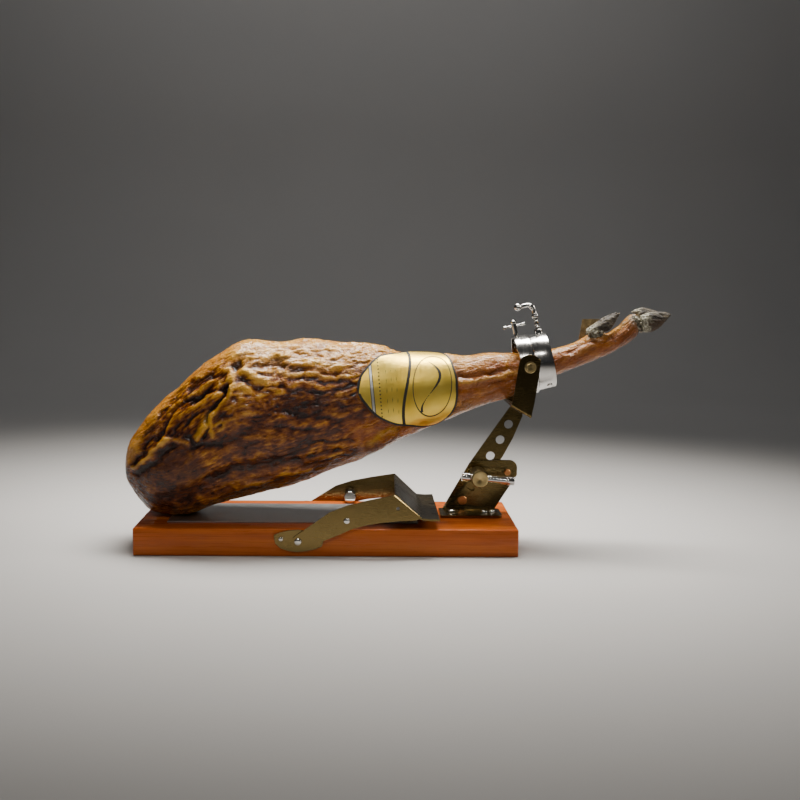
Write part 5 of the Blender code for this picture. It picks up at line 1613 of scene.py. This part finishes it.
@dataclass
class Label:
    """The gold foil label, laid over the leg between its lower and upper edges."""

    finishes: Finishes
    form: HamForm = field(default_factory=HamForm)
    columns: int = 150
    rows: int = 120
    under: float = 1.7
    over: float = 2.25
    # X in mm, then the lower and upper edge in degrees up from the front.
    edges = ((37.2, 16.5, 21.5), (39.0, 12.0, 26.0), (42.2, 7.6, 31.0), (46.5, 3.6, 35.5), (54.0, -2.0, 43.0),
             (66.0, -11.0, 54.0),
             (80.0, -20.0, 62.0), (95.0, -30.0, 73.0), (112.0, -40.0, 88.0), (130.0, -54.0, 96.0),
             (146.0, -63.0, 96.0), (158.0, -60.0, 90.0), (167.0, -49.0, 72.0), (174.0, -32.0, 38.0),
             (177.5, -11.0, 16.0))

    def sheet(self) -> tuple[np.ndarray, np.ndarray, np.ndarray]:
        """Lay out the label.

        Returns:
            Its smooth points in mm, their outward normals, and their X and height as seen when flat.
        """
        edges = HamForm.between(np.array(self.edges), np.linspace(0, len(self.edges) - 1, self.columns))
        dense = np.linspace(0, len(self.form.stations) - 1, 1500)
        rows = HamForm.between(np.array(self.form.stations), dense)
        middles = (rows[:, 0] + rows[:, 2]) / 2
        points, normals = [], []
        for x, low, high in edges:
            place = np.interp(x, middles, dense)
            angles = np.linspace(low, high, self.rows)
            step = 0.04
            here, _ = self.form.surface(place + np.array([-step, 0, step]), angles)
            after, _ = self.form.surface(np.array([place]), angles + 1.0)
            before, _ = self.form.surface(np.array([place]), angles - 1.0)
            normal = np.cross(here[2] - here[0], after[0] - before[0])
            points.append(here[1])
            normals.append(normal / np.linalg.norm(normal, axis=-1, keepdims=True))
        points, normals = np.array(points), np.array(normals)
        climb = np.cumsum(np.linalg.norm(np.diff(points, axis=1, prepend=points[:, :1]), axis=-1), axis=1)
        level = np.array([np.interp(10.0, np.linspace(e[1], e[2], self.rows), c) for e, c in zip(edges, climb)])
        flat = np.stack([np.broadcast_to(edges[:, :1], climb.shape), climb - level[:, None]], axis=-1)
        return points, normals, flat

    def distances(self, flat: np.ndarray) -> dict[str, np.ndarray]:
        """Distances in mm from each printed line, by the line's name."""
        x, up = flat[..., 0], flat[..., 1]
        rim = np.concatenate([flat[:, 0], flat[-1], flat[::-1, -1], flat[0, ::-1]])
        edge = np.full_like(x, np.inf)
        for a in range(0, len(rim), 2):
            edge = np.minimum(edge, np.hypot(x - rim[a, 0], up - rim[a, 1]))
        divider = x - (107.0 + 7.0 * np.sin((up - 6.0) / 27.0) - 0.06 * up)
        wave = x - (140.0 + 13.0 * np.sin(up / 13.5 + 0.6))
        inside = np.maximum(np.abs(up - 2.0) - 34.0, 0.0)
        oval = (np.hypot((x - 142.0) / 27.0, (up - 2.0) / 44.0) - 1.0) * 27.0
        return {
            "edge": edge,
            "divider": divider,
            "band": x - 59.5 + 0.14 * (up + 4.0),
            "scroll": np.hypot(wave / np.hypot(1.0, 0.95 * np.cos(up / 13.5 + 0.6)), inside)
            / (0.5 + 1.3 * np.cos((up - 12.0) / 16.0) ** 2),
            "oval": oval,
            "rules": np.minimum.reduce([np.hypot(x - at + 0.1 * up, np.maximum(np.abs(up) - 30.0, 0.0))
                                        for at in (79.0, 86.0, 93.0)]),
            "dots": np.hypot(x - 69.5 + 0.12 * up, (up + 60.0) % 5.0 - 2.5) - 0.4,
        }

    def build(self) -> None:
        """Build the label."""
        points, normals, flat = self.sheet()
        crease = np.array([[noise.fractal(Vector((*p * 0.03,)), 1.0, 2.0, 2) for p in row] for row in points])
        lift = 0.35 * crease
        upper = points + normals * (self.over + np.clip(lift, -0.3, 0.3))[..., None]
        lower = points + normals * self.under
        loops = np.concatenate([upper, lower[:, ::-1]], axis=1)[:, ::-1]
        mesh = grid_mesh(loops[:, ::-1] * MM)
        bm = bmesh.new()
        bm.from_mesh(mesh)
        bm.verts.ensure_lookup_table()
        count = loops.shape[1]
        for start in (0, (len(points) - 1) * count):
            for k in range(self.rows - 1):
                corners = [bm.verts[start + i] for i in (k, k + 1, count - 2 - k, count - 1 - k)]
                bm.faces.new(corners)
        bmesh.ops.recalc_face_normals(bm, faces=bm.faces)
        bm.to_mesh(mesh)
        bm.free()
        for name, values in self.distances(flat).items():
            carry(mesh, name, np.concatenate([values, values[:, ::-1]], axis=1))
        settle("gold_label", mesh, self.finishes.foil, Body.HEAD, "foil", "label", sharp=60)


# ---- studio -----------------------------------------------------------------------------------

@dataclass
class Studio:
    """A pale sweep, soft lights and the camera."""

    place: tuple[float, float, float] = (0.0524, -1.4782, 0.3791)
    yaw: float = 1.818
    pitch: float = 6.779
    roll: float = 0.728
    lens: float = 47.34

    def sweep(self) -> None:
        """Make the floor that curves up into a back wall."""
        bm = bmesh.new()
        half, front, back, radius, top = 4.0, -4.0, 1.6, 0.9, 3.6
        outline = [(front, 0.0), (back, 0.0)]
        outline += [(back + radius * math.sin(a), radius * (1 - math.cos(a)))
                    for a in (math.pi / 2 * k / 16 for k in range(1, 17))]
        outline.append((back + radius, top))
        rows = [[bm.verts.new((x, y, z)) for x in (-half, half)] for y, z in outline]
        for a, b in zip(rows, rows[1:]):
            bm.faces.new([a[0], a[1], b[1], b[0]])
        mesh = bpy.data.meshes.new("studio_sweep")
        bm.to_mesh(mesh)
        bm.free()
        mesh.shade_smooth()
        mesh.materials.append(StudioPaint().material())
        floor = bpy.data.objects.new("studio_sweep", mesh)
        bpy.context.scene.collection.objects.link(floor)

    @staticmethod
    def lamp(name: str, place: tuple[float, float, float], aim: tuple[float, float, float], size: Pair,
             power: float, colour: Colour = (1, 1, 1), spread: float = 180.0) -> None:
        """Hang a soft box that faces a point."""
        light = bpy.data.lights.new(name, "AREA")
        light.shape = "RECTANGLE"
        light.size, light.size_y = size
        light.energy = power
        light.spread = math.radians(spread)
        light.color = colour
        lamp = bpy.data.objects.new(name, light)
        lamp.location = place
        lamp.rotation_euler = (Vector(aim) - Vector(place)).to_track_quat("-Z", "Y").to_euler()
        bpy.context.scene.collection.objects.link(lamp)

    def lights(self) -> None:
        """Light the object from above and behind, with a weaker fill in front."""
        self.lamp("overhead", (0.08, 0.30, 1.32), (0.05, 0.17, 0.16), (1.1, 0.45), 14.5, (1.0, 0.96, 0.9), 76.0)
        self.lamp("strip", (0.0, -1.05, 1.0), (0.0, 0.0, 0.2), (0.8, 0.04), 0.9, (1.0, 0.95, 0.88), 70.0)
        self.lamp("fill", (-0.8, -1.7, 1.0), (0.0, 0.0, 0.16), (1.0, 1.0), 1.05, (1.0, 0.92, 0.82))
        self.lamp("side", (1.35, -0.05, 0.85), (0.15, 0.0, 0.15), (0.3, 0.4), 1.8, (1.0, 0.95, 0.88), 90.0)
        self.lamp("wall", (0.0, 1.2, 2.6), (0.0, 2.4, 0.7), (2.0, 0.6), 12.0)
        world = bpy.data.worlds.new("studio air")
        world.use_nodes = True
        world.node_tree.nodes["Background"].inputs[0].default_value = (0.9, 0.92, 0.95, 1.0)
        world.node_tree.nodes["Background"].inputs[1].default_value = 0.035
        bpy.context.scene.world = world

    def camera(self) -> None:
        """Set the camera at the viewing angle."""
        yaw, pitch, roll = (math.radians(a) for a in (self.yaw, self.pitch, self.roll))
        forward = Vector((math.sin(yaw) * math.cos(pitch), math.cos(yaw) * math.cos(pitch), -math.sin(pitch)))
        right = Vector((math.cos(yaw), -math.sin(yaw), 0))
        up = right.cross(forward)
        tilted_right = right * math.cos(roll) + up * math.sin(roll)
        tilted_up = up * math.cos(roll) - right * math.sin(roll)
        turn = Matrix((tilted_right, tilted_up, -forward)).transposed().to_4x4()
        data = bpy.data.cameras.new("camera")
        data.lens = self.lens
        data.sensor_width = 36.0
        data.clip_start, data.clip_end = 0.05, 60.0
        camera = bpy.data.objects.new("camera", data)
        camera.matrix_world = Matrix.Translation(self.place) @ turn
        bpy.context.scene.collection.objects.link(camera)
        bpy.context.scene.camera = camera

    def build(self) -> None:
        """Set up the studio."""
        self.sweep()
        self.lights()
        self.camera()


def main() -> None:
    """Build the ham, its stand and the studio."""
    finishes = Finishes()
    form = HamForm()
    for part in (Stand(finishes), Support(finishes), Arm(finishes), Rings(finishes), Ham(finishes, form),
                 Label(finishes, form), Studio()):
        LOG.info("building %s", type(part).__name__)
        part.build()


if __name__ == "__main__":
    logging.basicConfig(level=logging.INFO, format="%(message)s")
    main()
